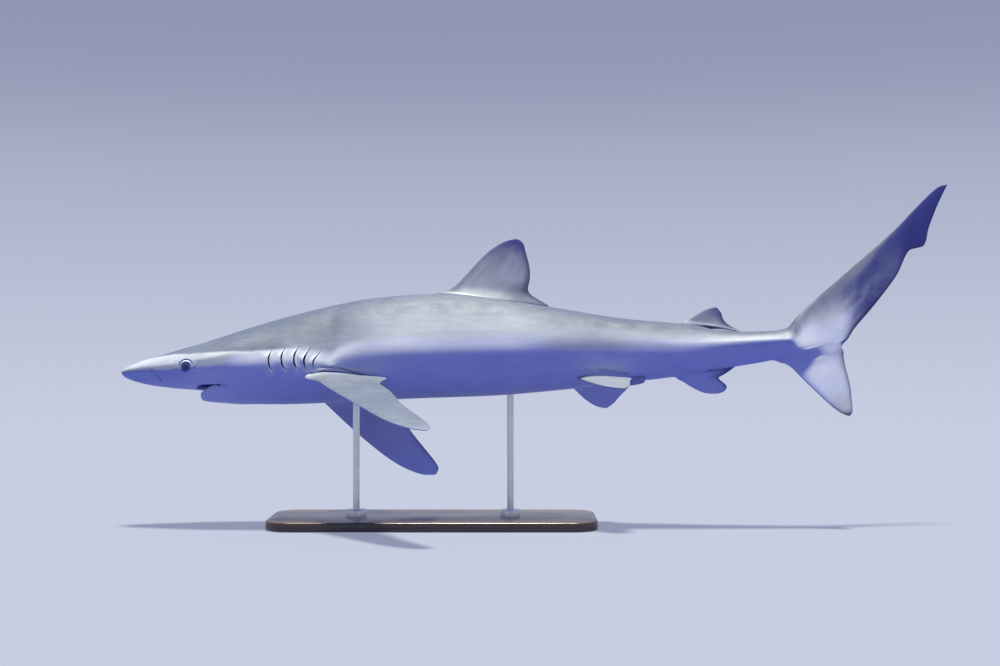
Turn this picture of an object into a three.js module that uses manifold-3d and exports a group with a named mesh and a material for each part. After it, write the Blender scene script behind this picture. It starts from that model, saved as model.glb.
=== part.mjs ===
// Blue shark (Prionace glauca), an immature male, as a life-size museum model on a display stand.
// Millimetres, +Z up, origin at the middle of the underside of the stand's base.
//
// The shark is modelled level in its own frame: x runs back from the tip of the snout, -y is its
// left side, and z = 0 is the line that its body lies along. The whole animal is then banked about
// that line and set on the stand.

import * as THREE from 'three';
import { mergeVertices } from 'three/addons/utils/BufferGeometryUtils.js';
import Module from 'manifold-3d';

const wasm = await Module();
wasm.setup();

// ---- Driving dimensions ----

const BANK = THREE.MathUtils.degToRad(13); // the back leans away from the left side
const AXIS_HEIGHT = 420; // of the shark's long line above the floor
const BALANCE = 745; // distance behind the snout that stands over the base's middle
const GAP = 0.3; // left between neighbours
const EDGE = 0.6; // half the thickness of a fin's edges

const SWING = { start: 820, length: 900, reach: 45 }; // of the tail, towards the left

const HEAD_END = 500; // cuts between head, trunk and tail stalk
const TRUNK_END = 1215;
const STALK_END = 1590;

// The body at its stations: distance back, back line, belly line, half width, level of the widest.
// The belly line of the head leaves out the lower jaw, which jawDrop adds.
const BODY = [
  [0, -56, -56, 0, -56], // tip of the snout
  [30, -35.5, -75.5, 31, -58],
  [66, -22, -84, 44, -58],
  [113, -7.5, -89.5, 59, -57], // nostrils
  [160, 6.5, -92.5, 73, -53], // eyes
  [189, 14.5, -94.5, 80, -48], // front of the mouth
  [238, 31, -106, 87, -38], // corners of the mouth
  [285, 47, -122, 91, -30],
  [381, 77, -128, 94.5, -18], // first gill slits
  [476, 102, -126.5, 97, -8], // pectoral fins
  [600, 126, -121, 98, 2],
  [762, 137.5, -114.5, 98, 10], // crest of the back, first dorsal fin
  [880, 127, -110.5, 94, 8],
  [1048, 99, -98, 80, 0], // pelvic fins
  [1200, 72, -82, 62, -4],
  [1335, 57.5, -69, 48, -6], // second dorsal and anal fins
  [1413, 43.5, -56, 41.5, -6],
  [1500, 36.5, -42.5, 36, -3],
  [1559, 38, -33, 33.5, 2], // narrowest, ahead of the tail fin
  [STALK_END, 46, -30, 31, 8],
];

// The head's underside is flatter than an ellipse, most of all by the eyes.
const FLAT_HEAD = { middle: 180, length: 110, amount: 0.5 };

// The lower jaw, an arch in plan: its front, its corners, half the width there, how far it hangs
// below the belly line, and where the throat has taken it up.
const JAW = { front: 185, corner: 243, halfWidth: 72, depth: 24, end: 325 };
const LOWER_LIP = [[182, -108], [200, -106.5], [218, -103], [JAW.corner, -97.5]];
const UPPER_LIP = [[174, -98.5], [186, -95], [202, -92], [220, -92.5], [JAW.corner, -96.5]];

// The eyeballs, flattened outwards; sunk is the depth of the middle below the side of the head.
const EYE = { x: 166, level: -53.5, sunk: 8.5, radii: [19, 11, 18] };

// Gill slits of one side: place of the middle, how far the top and the foot lie behind it, and
// the levels of the top and of the foot.
const GILL_SLITS = [
  [363, 9, 11, -22, -75],
  [394, 8, 12, -15, -73],
  [423, 12, 9, -13, -69],
  [449, 14, 4, -15, -66],
  [470, 16, 1, -26, -65],
];
const SLIT = { width: 2.4, inside: 73, outside: 120 };

// Fins as ribs from inside the root to the tip: front (a, b), back (a, b) and thickness. On the
// midline a is x and b is z; on the paired fins a runs back and b outwards from the root's front.
const FIRST_DORSAL = [
  [[746, 116], [932, 96], 30],
  [[746, 137], [934, 118], 26],
  [[776, 147], [1019, 110], 18],
  [[800, 163], [974, 144], 14],
  [[832, 198], [978, 181], 11],
  [[862, 231], [975, 213], 9],
  [[895, 258.5], [967, 245], 6.5],
  [[926, 273.5], [961, 266], 4],
  [[948, 277], [948, 277], 1.5],
];
const SECOND_DORSAL = [
  [[1334, 38], [1404, 26], 17],
  [[1334, 57], [1405, 45], 14],
  [[1349, 65], [1486, 41], 9],
  [[1362, 72], [1454, 53], 7],
  [[1384, 86], [1438, 69], 5.5],
  [[1405, 95], [1433, 85], 4],
  [[1423, 98.5], [1423, 98.5], 1.5],
];
const ANAL = [
  [[1322, -54], [1402, -40], 17],
  [[1322, -72], [1403, -58], 14],
  [[1339, -83], [1465, -51], 10],
  [[1351, -91], [1436, -67], 8],
  [[1362, -98], [1423, -75], 7],
  [[1380, -107.5], [1433, -86], 5.5],
  [[1402, -113], [1442, -98], 4],
  [[1430, -111.5], [1430, -111.5], 1.5],
];
const PECTORAL = [
  [[0, -26], [100, -26], 34],
  [[0, 0], [105, 0], 27],
  [[8, 17], [193, 13], 19],
  [[27, 52], [176, 49], 15],
  [[54, 98], [200, 100], 12.5],
  [[116, 192], [236, 187], 10],
  [[188, 287], [283, 281], 7],
  [[259, 356], [311, 344], 4],
  [[303, 372], [303, 372], 1.5],
];
const PELVIC = [
  [[2, -18], [98, -18], 22],
  [[0, 0], [103, 0], 18],
  [[13, 19], [141, 11], 11],
  [[32, 46], [129, 44], 8],
  [[57, 76], [121, 74], 6],
  [[79, 93], [113, 91], 4],
  [[99, 99.5], [99, 99.5], 1.5],
];
const CAUDAL_UPPER = [
  [[STALK_END + GAP, 46], [STALK_END + GAP, -30], 64],
  [[1621, 80], [1626, -21], 50],
  [[1671, 126], [1672, -10], 32],
  [[1721, 169], [1717, 0], 20],
  [[1771, 212], [1743, 36], 14],
  [[1822, 256], [1788, 88], 10],
  [[1862, 292], [1838, 149], 8],
  [[1881, 311], [1864, 188], 7],
  [[1897, 328], [1885, 232], 6],
  [[1912, 343], [1926, 249], 5],
  [[1940, 371], [1938, 287], 4],
  [[1970, 396], [1962, 345], 3],
  [[1991, 402], [1991, 402], 1.5],
];
const CAUDAL_LOWER = [
  [[1552, -16], [1711, 14], 34],
  [[1560, -34], [1718, -4], 26],
  [[1588, -46], [1719, -27], 15],
  [[1615, -73], [1722, -50], 11],
  [[1658, -118], [1731, -94], 8],
  [[1694, -152], [1734, -141], 5],
  [[1715, -165], [1734, -158], 3],
  [[1728, -169], [1728, -169], 1.5],
];

// Fronts and pitch of the paired fins' roots, how far out a blade has settled to its own pitch,
// and each side's angle below level and its own pitch, all in degrees.
const PECTORAL_ROOT = { x: 445, side: 78, z: -72, pitch: 4, settle: 110 };
const PECTORAL_SET = { left: { droop: 29, pitch: 2.5 }, right: { droop: 40.5, pitch: -18 } };
const PELVIC_ROOT = { x: 1072, side: 41, z: -78, pitch: 0, settle: 110 };
const PELVIC_SET = { left: { droop: 25, pitch: 0 }, right: { droop: 27, pitch: 0 } };

const CLASPER = { start: [1172, 22, -88], end: [1251, 17, -76], radius: 6.5 };

const BASE = { length: 780, width: 300, thickness: 22, corner: 60, bevel: 3 };
const ROD = { radius: 8, places: { front: 560, rear: 930 }, side: 3, top: 360 };
const COLLAR = { radius: 24, height: 16, chamfer: 3 };

// ---- Shapes and solids ----

const { clamp, degToRad, lerp, smoothstep } = THREE.MathUtils;

// A smooth line through values at knots, which never swings past them.
function smoothThrough(knots, values) {
  const steps = knots.slice(1).map((knot, i) => knot - knots[i]);
  const slopes = steps.map((step, i) => (values[i + 1] - values[i]) / step);
  const turns = knots.map((_, i) => {
    if (i === 0) return slopes[0];
    if (i === steps.length) return slopes[i - 1];
    if (slopes[i - 1] * slopes[i] <= 0) return 0;
    const before = 2 * steps[i] + steps[i - 1];
    const after = steps[i] + 2 * steps[i - 1];
    return (before + after) / (before / slopes[i - 1] + after / slopes[i]);
  });
  return (knot) => {
    let i = 0;
    while (i < steps.length - 1 && knot > knots[i + 1]) i += 1;
    const s = clamp((knot - knots[i]) / steps[i], 0, 1);
    const leaving = (turns[i] - slopes[i]) * s * (1 - s) * (1 - s);
    const arriving = (slopes[i] - turns[i + 1]) * s * s * (1 - s);
    return values[i] + steps[i] * (slopes[i] * s + leaving + arriving);
  };
}

// A sphere whose points are put where place(turn, step) says: turn goes from 0 to 1 round it and
// step counts its rings from one pole to the other.
function warpedSphere(turns, steps, place) {
  const geometry = new THREE.SphereGeometry(1, turns, steps);
  const { position, uv } = geometry.attributes;
  for (let i = 0; i < position.count; i += 1) {
    const step = Math.round((1 - uv.getY(i)) * steps);
    const pole = step === 0 || step === steps;
    const turn = pole ? 0 : (Math.round(uv.getX(i) * turns) % turns) / turns;
    position.setXYZ(i, ...place(turn, step));
  }
  return geometry;
}

// A closed geometry as a solid, with its faces outwards.
function solid(geometry) {
  const bare = geometry.clone();
  bare.deleteAttribute('normal');
  bare.deleteAttribute('uv');
  const merged = mergeVertices(bare, 1e-3);
  const vertProperties = Float32Array.from(merged.attributes.position.array);
  const triVerts = Uint32Array.from(merged.index.array);
  const corner = (i) => new THREE.Vector3().fromArray(vertProperties, 3 * triVerts[i]);
  let volume = 0;
  for (let i = 0; i < triVerts.length; i += 3) {
    volume += corner(i).dot(corner(i + 1).cross(corner(i + 2)));
  }
  if (volume < 0) triVerts.reverse();
  return new wasm.Manifold(new wasm.Mesh({ numProp: 3, vertProperties, triVerts }));
}

function geometryOf(shape) {
  const { vertProperties, triVerts } = shape.getMesh();
  const geometry = new THREE.BufferGeometry();
  geometry.setAttribute('position', new THREE.BufferAttribute(Float32Array.from(vertProperties), 3));
  geometry.setIndex(new THREE.BufferAttribute(Uint32Array.from(triVerts), 1));
  geometry.computeVertexNormals();
  return geometry;
}

// An outline in x and z, made thick from one y to another.
function slab(outline, fromY, toY) {
  const options = { depth: Math.abs(toY - fromY), bevelEnabled: false, curveSegments: 4 };
  const geometry = new THREE.ExtrudeGeometry(outline, options);
  return solid(geometry.rotateX(Math.PI / 2).translate(0, Math.max(fromY, toY), 0));
}

function block(fromX, toX) {
  const size = 600;
  return solid(new THREE.BoxGeometry(toX - fromX, size, size).translate((fromX + toX) / 2, 0, 0));
}

// ---- The body ----

const stations = BODY.map(([x]) => Math.sqrt(x));
const [backLine, bellyLine, halfWidth, widestLevel] = [1, 2, 3, 4].map((column) => {
  const line = smoothThrough(stations, BODY.map((station) => station[column]));
  return (x) => line(Math.sqrt(Math.max(x, 0)));
});

const swing = (x) => -SWING.reach * smoothstep(x, SWING.start, SWING.start + SWING.length);

// How far the lower jaw and throat hang below the belly line.
function jawDrop(x, side) {
  if (x <= JAW.front) return 0;
  const arch = JAW.halfWidth * Math.min(1, (x - JAW.front) / (JAW.corner - JAW.front)) ** 0.5;
  const chin = smoothstep(x, JAW.front, JAW.front + 20);
  const throat = smoothstep(x, JAW.corner - 12, JAW.end);
  const along = chin * (1 - throat);
  return JAW.depth * along * Math.max(0, 1 - (side / arch) ** 2) ** 0.7;
}

// The power that flattens the section's underside; at 1 it is an ellipse.
function undersidePower(x) {
  const { middle, length, amount } = FLAT_HEAD;
  return 2 / (2 + amount * Math.exp(-(((x - middle) / length) ** 2)));
}

// A point of the body's surface, or one that lies out from it by grow. The angle runs from the
// back by the left flank to the belly.
function bodyPoint(x, angle, grow) {
  const power = Math.cos(angle) > 0 ? 1 : undersidePower(x);
  const [up, out] = [Math.cos(angle), Math.sin(angle)].map((part) => (
    Math.sign(part) * Math.abs(part) ** power));
  const level = widestLevel(x);
  const height = up > 0 ? backLine(x) - level : level - bellyLine(x);
  const side = halfWidth(x) * out;
  const drop = up < 0 ? jawDrop(x, side) : 0;
  return new THREE.Vector3(x, swing(x) - side - grow * out, level + (height + grow) * up - drop);
}

// Rings crowd at the snout, where the body turns fastest, and at the mouth.
const series = (count, place) => Array.from({ length: count }, (_, i) => place(i));
const rings = [
  ...series(9, (i) => 175 * ((i + 1) / 9) ** 2),
  ...series(9, (i) => 186 + 84 * (i / 8) ** 1.3),
  ...series(22, (i) => 300 + (STALK_END - 300) * (i / 21)),
];

function bodySolid(grow) {
  const last = rings.length + 1;
  return solid(warpedSphere(26, last, (turn, step) => {
    if (step === 0) return new THREE.Vector3(-grow, 0, widestLevel(0));
    if (step === last) return new THREE.Vector3(STALK_END, swing(STALK_END), widestLevel(STALK_END));
    return bodyPoint(rings[step - 1], 2 * Math.PI * turn, grow);
  }));
}

const body = bodySolid(0);
const grownBody = bodySolid(GAP);

// ---- Fins ----

// A blade lofted over its ribs, with a streamlined section and blunt edges, or at its root an oval
// one. place puts a point (a, b) of the blade, and its distance h to one side, in the shark's frame.
function blade(ribs, place, { steps = 13, ovalRoot = 0, grow = 0 } = {}) {
  const turns = 12;
  const line = (end) => new THREE.CatmullRomCurve3(
    ribs.map((rib) => new THREE.Vector3(...rib[end], rib[2])), false, 'centripetal');
  const [fronts, backs] = [line(0), line(1)];
  const stretch = 1 / Math.cos(Math.PI / turns);
  return solid(warpedSphere(turns, steps, (turn, step) => {
    const along = Math.max(0, step - 1) / (steps - 1);
    const front = fronts.getPoint(along);
    const point = front.clone();
    const back = backs.getPoint(along);
    if (step === 0 || step === steps) {
      point.lerp(back, 0.5);
      return place(point.x, point.y, 0);
    }
    const angle = 2 * Math.PI * (turn + 0.5 / turns);
    const chord = clamp(0.5 - 0.5 * stretch * Math.cos(angle), 0, 1);
    // Half thicknesses over the chord: the four-digit wing series', and an ellipse's.
    const wing = 2.969 * Math.sqrt(chord) - 1.26 * chord - 3.516 * chord ** 2
      + 2.843 * chord ** 3 - 1.036 * chord ** 4;
    const oval = 2 * Math.sqrt(chord * (1 - chord));
    const section = lerp(wing, oval, ovalRoot * (1 - smoothstep(along, 0, 0.3)));
    const half = EDGE + grow + Math.max(0, front.z / 2 - EDGE) * section;
    point.lerp(back, chord);
    return place(point.x, point.y, Math.sign(Math.sin(angle)) * half);
  }));
}

const onMidline = (a, b, h) => new THREE.Vector3(a, swing(a) + h, b);

// Places a paired fin on its side (-1 is the left). The blade hangs below level by its droop, and
// away from its root it turns about the root's line by its pitch.
function onSide(side, root, { droop, pitch }) {
  const down = degToRad(droop);
  const outwards = new THREE.Vector3(0, side * Math.cos(down), -Math.sin(down));
  const upwards = new THREE.Vector3(0, side * Math.sin(down), Math.cos(down));
  return (a, b, h) => {
    const angle = degToRad(lerp(root.pitch, pitch, smoothstep(b, 0, root.settle)));
    const back = a * Math.cos(angle) + h * Math.sin(angle);
    const up = h * Math.cos(angle) - a * Math.sin(angle);
    return new THREE.Vector3(root.x + back, swing(root.x + back) + side * root.side, root.z)
      .addScaledVector(outwards, b)
      .addScaledVector(upwards, up);
  };
}

const finOnBody = (ribs, place) => blade(ribs, place).subtract(grownBody);

// The body's line turns up into the upper lobe of the tail fin; the lower lobe hangs from both.
const upperLobe = (grow) => blade(CAUDAL_UPPER, onMidline, { steps: 22, ovalRoot: 1, grow });
const lowerLobe = finOnBody(CAUDAL_LOWER, onMidline).subtract(upperLobe(GAP));

function clasper(side) {
  const [start, end] = [CLASPER.start, CLASPER.end].map(([x, y, z]) => (
    new THREE.Vector3(x, swing(x) + side * y, z)));
  const line = end.clone().sub(start);
  const rod = new THREE.CapsuleGeometry(CLASPER.radius, line.length(), 3, 10);
  const upright = new THREE.Vector3(0, 1, 0);
  rod.applyQuaternion(new THREE.Quaternion().setFromUnitVectors(upright, line.clone().normalize()));
  return solid(rod.translate(...start.addScaledVector(line, 0.5))).subtract(grownBody);
}

// ---- Head: the mouth, gill slits and eye sockets are cut into the body ----

const points = (list) => list.map(([x, z]) => new THREE.Vector2(x, z));

// All that lies below a lip and ahead of a line down from the corner of the mouth.
const wellBelow = -160;
const belowLip = (lip, endX) => new THREE.Shape()
  .moveTo(endX, wellBelow)
  .lineTo(lip[0][0], wellBelow)
  .lineTo(...lip[0])
  .splineThru(points(lip.slice(1)))
  .lineTo(endX, lip.at(-1)[1]);

const acrossHead = (outline) => slab(outline, -150, 150);

function gillSlit([x, topBack, footBack, topLevel, footLevel], side) {
  const bow = (middle) => [middle - (topBack + footBack) / 2, (topLevel + footLevel) / 2];
  const outline = new THREE.Shape()
    .moveTo(x + topBack, topLevel)
    .quadraticCurveTo(...bow(x), x + footBack, footLevel)
    .lineTo(x + footBack + SLIT.width, footLevel)
    .quadraticCurveTo(...bow(x + SLIT.width), x + topBack + SLIT.width, topLevel);
  return slab(outline, side * SLIT.inside, side * SLIT.outside);
}

function eyeball(side, grow) {
  const { x, level, sunk, radii } = EYE;
  const below = (widestLevel(x) - level) / (widestLevel(x) - bellyLine(x));
  const surface = halfWidth(x) * Math.sqrt(1 - below ** 2);
  return solid(new THREE.SphereGeometry(1, 14, 10)
    .rotateX(Math.PI / 2)
    .scale(...radii.map((radius) => radius + grow))
    .translate(x, side * (surface - sunk), level));
}

const cuts = [
  acrossHead(belowLip(UPPER_LIP, JAW.corner + GAP)),
  ...[-1, 1].flatMap((side) => GILL_SLITS.map((slit) => gillSlit(slit, side))),
  ...[-1, 1].map((side) => eyeball(side, GAP)),
];
const head = cuts.reduce((shape, cut) => shape.subtract(cut), body).intersect(block(-10, HEAD_END));
const lowerJaw = body.intersect(acrossHead(belowLip(LOWER_LIP, JAW.corner)));

// ---- The shark's nodes ----

function add(group, name, geometry, material) {
  const mesh = new THREE.Mesh(geometry, material);
  mesh.name = name;
  group.add(mesh);
}

const shark = new THREE.Group();
shark.rotation.x = -BANK;
shark.position.set(-BALANCE, 0, AXIS_HEIGHT);

const bodySkin = new THREE.MeshStandardMaterial({ color: 0xa3a9bd, roughness: 0.5 });
const finSkin = new THREE.MeshStandardMaterial({ color: 0x8f95ac, roughness: 0.5 });
const eyeSurface = new THREE.MeshStandardMaterial({ color: 0x16181d, roughness: 0.08 });

for (const [name, shape] of [
  ['head', head],
  ['lower_jaw', lowerJaw],
  ['trunk', body.intersect(block(HEAD_END + GAP, TRUNK_END))],
  ['tail_stalk', body.intersect(block(TRUNK_END + GAP, STALK_END))],
]) add(shark, name, geometryOf(shape), bodySkin);

for (const [name, shape] of [
  ['first_dorsal_fin', finOnBody(FIRST_DORSAL, onMidline)],
  ['second_dorsal_fin', finOnBody(SECOND_DORSAL, onMidline)],
  ['anal_fin', finOnBody(ANAL, onMidline)],
  ['caudal_upper_lobe', upperLobe(0)],
  ['caudal_lower_lobe', lowerLobe],
]) add(shark, name, geometryOf(shape), finSkin);

for (const [name, side] of [['left', -1], ['right', 1]]) {
  const pectoral = finOnBody(PECTORAL, onSide(side, PECTORAL_ROOT, PECTORAL_SET[name]));
  const pelvic = finOnBody(PELVIC, onSide(side, PELVIC_ROOT, PELVIC_SET[name]));
  add(shark, `pectoral_fin_${name}`, geometryOf(pectoral), finSkin);
  add(shark, `pelvic_fin_${name}`, geometryOf(pelvic), finSkin);
  add(shark, `clasper_${name}`, geometryOf(clasper(side)), finSkin);
  add(shark, `eye_${name}`, geometryOf(eyeball(side, 0)), eyeSurface);
}

// ---- Display stand: a flat base, two rods up to the belly and a collar at each rod's foot ----

const stand = new THREE.Group();
const wood = new THREE.MeshStandardMaterial({ color: 0x3a2a20, roughness: 0.5 });
const steel = new THREE.MeshStandardMaterial({ color: 0xb9bcc0, roughness: 0.3, metalness: 1 });

function baseBoard() {
  const { length, width, thickness, corner, bevel } = BASE;
  const [x, y] = [length / 2 - bevel, width / 2 - bevel];
  const outline = new THREE.Shape()
    .moveTo(corner - x, -y)
    .lineTo(x - corner, -y)
    .absarc(x - corner, corner - y, corner, -Math.PI / 2, 0)
    .lineTo(x, y - corner)
    .absarc(x - corner, y - corner, corner, 0, Math.PI / 2)
    .lineTo(corner - x, y)
    .absarc(corner - x, y - corner, corner, Math.PI / 2, Math.PI)
    .lineTo(-x, corner - y)
    .absarc(corner - x, corner - y, corner, Math.PI, 1.5 * Math.PI);
  const options = { depth: thickness - 2 * bevel, bevelSize: bevel, bevelThickness: bevel };
  return new THREE.ExtrudeGeometry(outline, { ...options, bevelSegments: 1, curveSegments: 4 })
    .translate(0, 0, bevel);
}

function collar() {
  const { radius, height, chamfer } = COLLAR;
  const bore = ROD.radius + GAP;
  const profile = [
    [bore, 0], [radius, 0], [radius, height - chamfer], [radius - chamfer, height], [bore, height],
    [bore, 0],
  ];
  return new THREE.LatheGeometry(points(profile), 16).rotateX(Math.PI / 2);
}

// The shark above the stand, a little grown, to cut the rods' tops by.
shark.updateMatrixWorld(true);
const belly = solid(geometryOf(grownBody).applyMatrix4(shark.matrixWorld));

function rod(x) {
  const height = ROD.top - BASE.thickness;
  const shape = new THREE.CylinderGeometry(ROD.radius, ROD.radius, height, 16).rotateX(Math.PI / 2);
  return geometryOf(solid(shape.translate(x, ROD.side, BASE.thickness + height / 2)).subtract(belly));
}

add(stand, 'stand_base', baseBoard(), wood);
for (const [name, place] of Object.entries(ROD.places)) {
  const x = place - BALANCE;
  add(stand, `stand_rod_${name}`, rod(x), steel);
  add(stand, `stand_collar_${name}`, collar().translate(x, ROD.side, BASE.thickness), steel);
}

const model = new THREE.Group();
model.add(shark, stand);

export default model;
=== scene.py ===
"""A blue shark, as a still life-size museum model on its display stand. Metres, +Z up."""

from math import acos, asin, cos, degrees, exp, pi, radians, sin, sqrt

import bmesh
import bpy
import numpy as np
from mathutils import Matrix, Vector


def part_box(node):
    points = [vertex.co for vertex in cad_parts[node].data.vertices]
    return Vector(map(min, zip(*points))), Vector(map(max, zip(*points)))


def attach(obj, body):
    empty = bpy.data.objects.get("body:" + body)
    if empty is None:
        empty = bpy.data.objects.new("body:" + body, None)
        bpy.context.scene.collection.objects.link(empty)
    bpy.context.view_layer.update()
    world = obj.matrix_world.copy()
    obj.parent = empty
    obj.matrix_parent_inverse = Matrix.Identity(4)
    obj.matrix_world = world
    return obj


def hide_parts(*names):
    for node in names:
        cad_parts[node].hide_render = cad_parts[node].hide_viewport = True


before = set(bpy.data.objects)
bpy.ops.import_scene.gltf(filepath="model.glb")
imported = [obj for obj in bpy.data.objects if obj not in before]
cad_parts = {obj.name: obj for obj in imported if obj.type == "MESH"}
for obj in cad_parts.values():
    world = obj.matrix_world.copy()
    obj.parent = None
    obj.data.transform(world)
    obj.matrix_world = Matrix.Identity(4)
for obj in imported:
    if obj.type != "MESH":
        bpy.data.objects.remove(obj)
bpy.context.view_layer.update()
snout_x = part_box("head")[0].x  # the tip of the snout
floor_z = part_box("stand_base")[0].z

# ---- Camera ---------------------------------------------------------------------------------
# It stands beside the left flank, level, a little above the shark's long line. Colours are shown
# as they are, with no film curve.

CAMERA_BACK, CAMERA_AWAY, CAMERA_HEIGHT = 0.905, 4.0, 0.461  # back is from the snout's tip

bpy.ops.object.camera_add(
    location=(snout_x + CAMERA_BACK, -CAMERA_AWAY, CAMERA_HEIGHT), rotation=(pi / 2, 0, 0)
)
camera = bpy.context.object
camera.name = "camera"
camera.data.lens = 60
camera.data.sensor_width = 36
bpy.context.scene.camera = camera
bpy.context.scene.view_settings.view_transform = "Standard"

# ---- Studio light ---------------------------------------------------------------------------
# One soft light stands straight overhead, as the sun stands over a shark near the surface, and a
# weak, very soft one reaches the far flank. The room is a cool blue, so the underside lies in a
# blue shade.

ROOM_COLOUR = (0.205, 0.235, 0.525, 1)

for name, tilt, energy, width, colour in (
    ("overhead", 0, 9.4, 7, (1.0, 0.985, 0.78)),
    ("far_flank", -50, 0.9, 70, (0.80, 0.86, 1.0)),
):
    bpy.ops.object.light_add(type="SUN", rotation=(radians(tilt), 0, 0))
    lamp = bpy.context.object
    lamp.name = name
    lamp.data.angle = radians(width)
    lamp.data.energy = energy
    lamp.data.color = colour

world = bpy.data.worlds.new("room")
bpy.context.scene.world = world
world.use_nodes = True
world.node_tree.nodes["Background"].inputs["Color"].default_value = ROOM_COLOUR

# ---- Floor ----------------------------------------------------------------------------------
# A round sweep of pale paper, flat under the stand and turned up in a wide curve all round. The paper
# glows: the camera sees it pale, its glow filling in the shadow cast on it; towards the model it is
# dark and glows blue, lighting the underside from below in the room's blue.

FLOOR_RADIUS, COVE_RADIUS, COVE_STEPS, WALL_HEIGHT = 6.5, 3.0, 16, 2.5
FLOOR_GAP = 0.0004  # between the paper and the base
PAPER_UNSEEN, PAPER_SEEN = (0.020, 0.022, 0.030, 1), (0.095, 0.103, 0.130, 1)
# The glows are painted light: the seen one fills in shadows on the paper, the unseen one lights the
# model blue.
GLOW_UNSEEN, GLOW_SEEN = (0.078, 0.102, 0.52, 1), (0.26, 0.28, 0.37, 1)


def add_piece(name, add, **settings):
    """Adds a mesh, with nothing else selected, and names it."""
    bpy.ops.object.select_all(action="DESELECT")
    add(**settings)
    bpy.context.object.name = name
    return bpy.context.object


def open_mesh():
    """Opens the active object's mesh with everything chosen."""
    bpy.ops.object.mode_set(mode="EDIT")
    bpy.ops.mesh.select_mode(type="EDGE")
    bpy.ops.mesh.select_all(action="SELECT")


def choose_edges(target, test):
    """Selects those edges of the mesh in hand whose two ends pass the test."""
    bpy.ops.mesh.select_all(action="DESELECT")
    mesh = bmesh.from_edit_mesh(target.data)
    for edge in mesh.edges:
        edge.select = test(*(corner.co for corner in edge.verts))
    bmesh.update_edit_mesh(target.data)


sweep = add_piece(
    "paper_sweep", bpy.ops.mesh.primitive_circle_add, vertices=96, radius=FLOOR_RADIUS,
    fill_type="TRIFAN",
)
open_mesh()
bpy.ops.transform.translate(value=(0, 0, floor_z - FLOOR_GAP))
choose_edges(sweep, lambda start, end: min(start.xy.length, end.xy.length) > 0.99 * FLOOR_RADIUS)
radius, height = FLOOR_RADIUS, 0
for step in range(1, COVE_STEPS + 2):
    turn = pi / 2 * min(step / COVE_STEPS, 1)
    wider = FLOOR_RADIUS + COVE_RADIUS * sin(turn)
    higher = COVE_RADIUS * (1 - cos(turn)) + (WALL_HEIGHT if step > COVE_STEPS else 0)
    bpy.ops.mesh.extrude_region_move(TRANSFORM_OT_translate={"value": (0, 0, higher - height)})
    bpy.ops.transform.resize(value=(wider / radius, wider / radius, 1))
    radius, height = wider, higher
bpy.ops.object.mode_set(mode="OBJECT")
bpy.ops.object.shade_smooth()


def set_inputs(node, inputs):
    """Links or fills a node's inputs."""
    for socket, value in inputs.items():
        if isinstance(value, bpy.types.NodeSocket):
            node.id_data.links.new(value, node.inputs[socket])
        else:
            node.inputs[socket].default_value = value


def add_node(tree, kind, inputs=None, **settings):
    """Adds a node, sets what settings name and links or fills its inputs."""
    made = tree.nodes.new(kind)
    for name, value in settings.items():
        setattr(made, name, value)
    set_inputs(made, inputs or {})
    return made


def add_mix(tree, share, one, two):
    """Mixes two colours."""
    return add_node(tree, "ShaderNodeMix", {0: share, 6: one, 7: two}, data_type="RGBA").outputs[2]


def add_math(tree, operation, one, two, **settings):
    """Works out one number from two."""
    settings["operation"] = operation
    return add_node(tree, "ShaderNodeMath", {0: one, 1: two}, **settings).outputs["Value"]


def new_material(name):
    """A material with nodes; returns it, its tree and its shader."""
    made = bpy.data.materials.new(name)
    made.use_nodes = True
    return made, made.node_tree, made.node_tree.nodes["Principled BSDF"]


paper, paper_tree, paper_shader = new_material("pale_paper")
rays = add_node(paper_tree, "ShaderNodeLightPath").outputs
seen = add_math(paper_tree, "MAXIMUM", rays["Is Camera Ray"], rays["Is Glossy Ray"])
set_inputs(paper_shader, {
    "Base Color": add_mix(paper_tree, seen, PAPER_UNSEEN, PAPER_SEEN),
    "Emission Color": add_mix(paper_tree, seen, GLOW_UNSEEN, GLOW_SEEN),
    "Emission Strength": 1.0, "Roughness": 0.95, "Specular IOR Level": 0.0,
})
paper.cycles.emission_sampling = "NONE"
sweep.data.materials.append(paper)

# ---- Stand: base board ----------------------------------------------------------------------
# A board of dark stained hardwood with round corners and eased edges, lacquered. It lies flat on
# the floor, and the rods are bolted up through it.

board_low, board_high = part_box("stand_base")
BOARD_CORNER, BOARD_EASE = 0.060, 0.003
SAME_LEVEL = 1e-5  # heights closer than this are one

board = add_piece("base_board", bpy.ops.mesh.primitive_cube_add, size=1)
open_mesh()
bpy.ops.transform.resize(value=tuple(board_high - board_low))
bpy.ops.transform.translate(value=tuple((board_low + board_high) / 2))
choose_edges(board, lambda start, end: abs(start.z - end.z) > SAME_LEVEL)
bpy.ops.mesh.bevel(offset=BOARD_CORNER, segments=14)


def choose_level_edges(target, level):
    """Selects the edges that lie at a level."""
    choose_edges(
        target, lambda start, end: max(abs(start.z - level), abs(end.z - level)) < SAME_LEVEL
    )


for level in (board_low.z, board_high.z):
    choose_level_edges(board, level)
    bpy.ops.mesh.bevel(offset=BOARD_EASE, segments=3)
bpy.ops.object.mode_set(mode="OBJECT")
bpy.ops.object.shade_smooth_by_angle(angle=radians(50))

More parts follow.
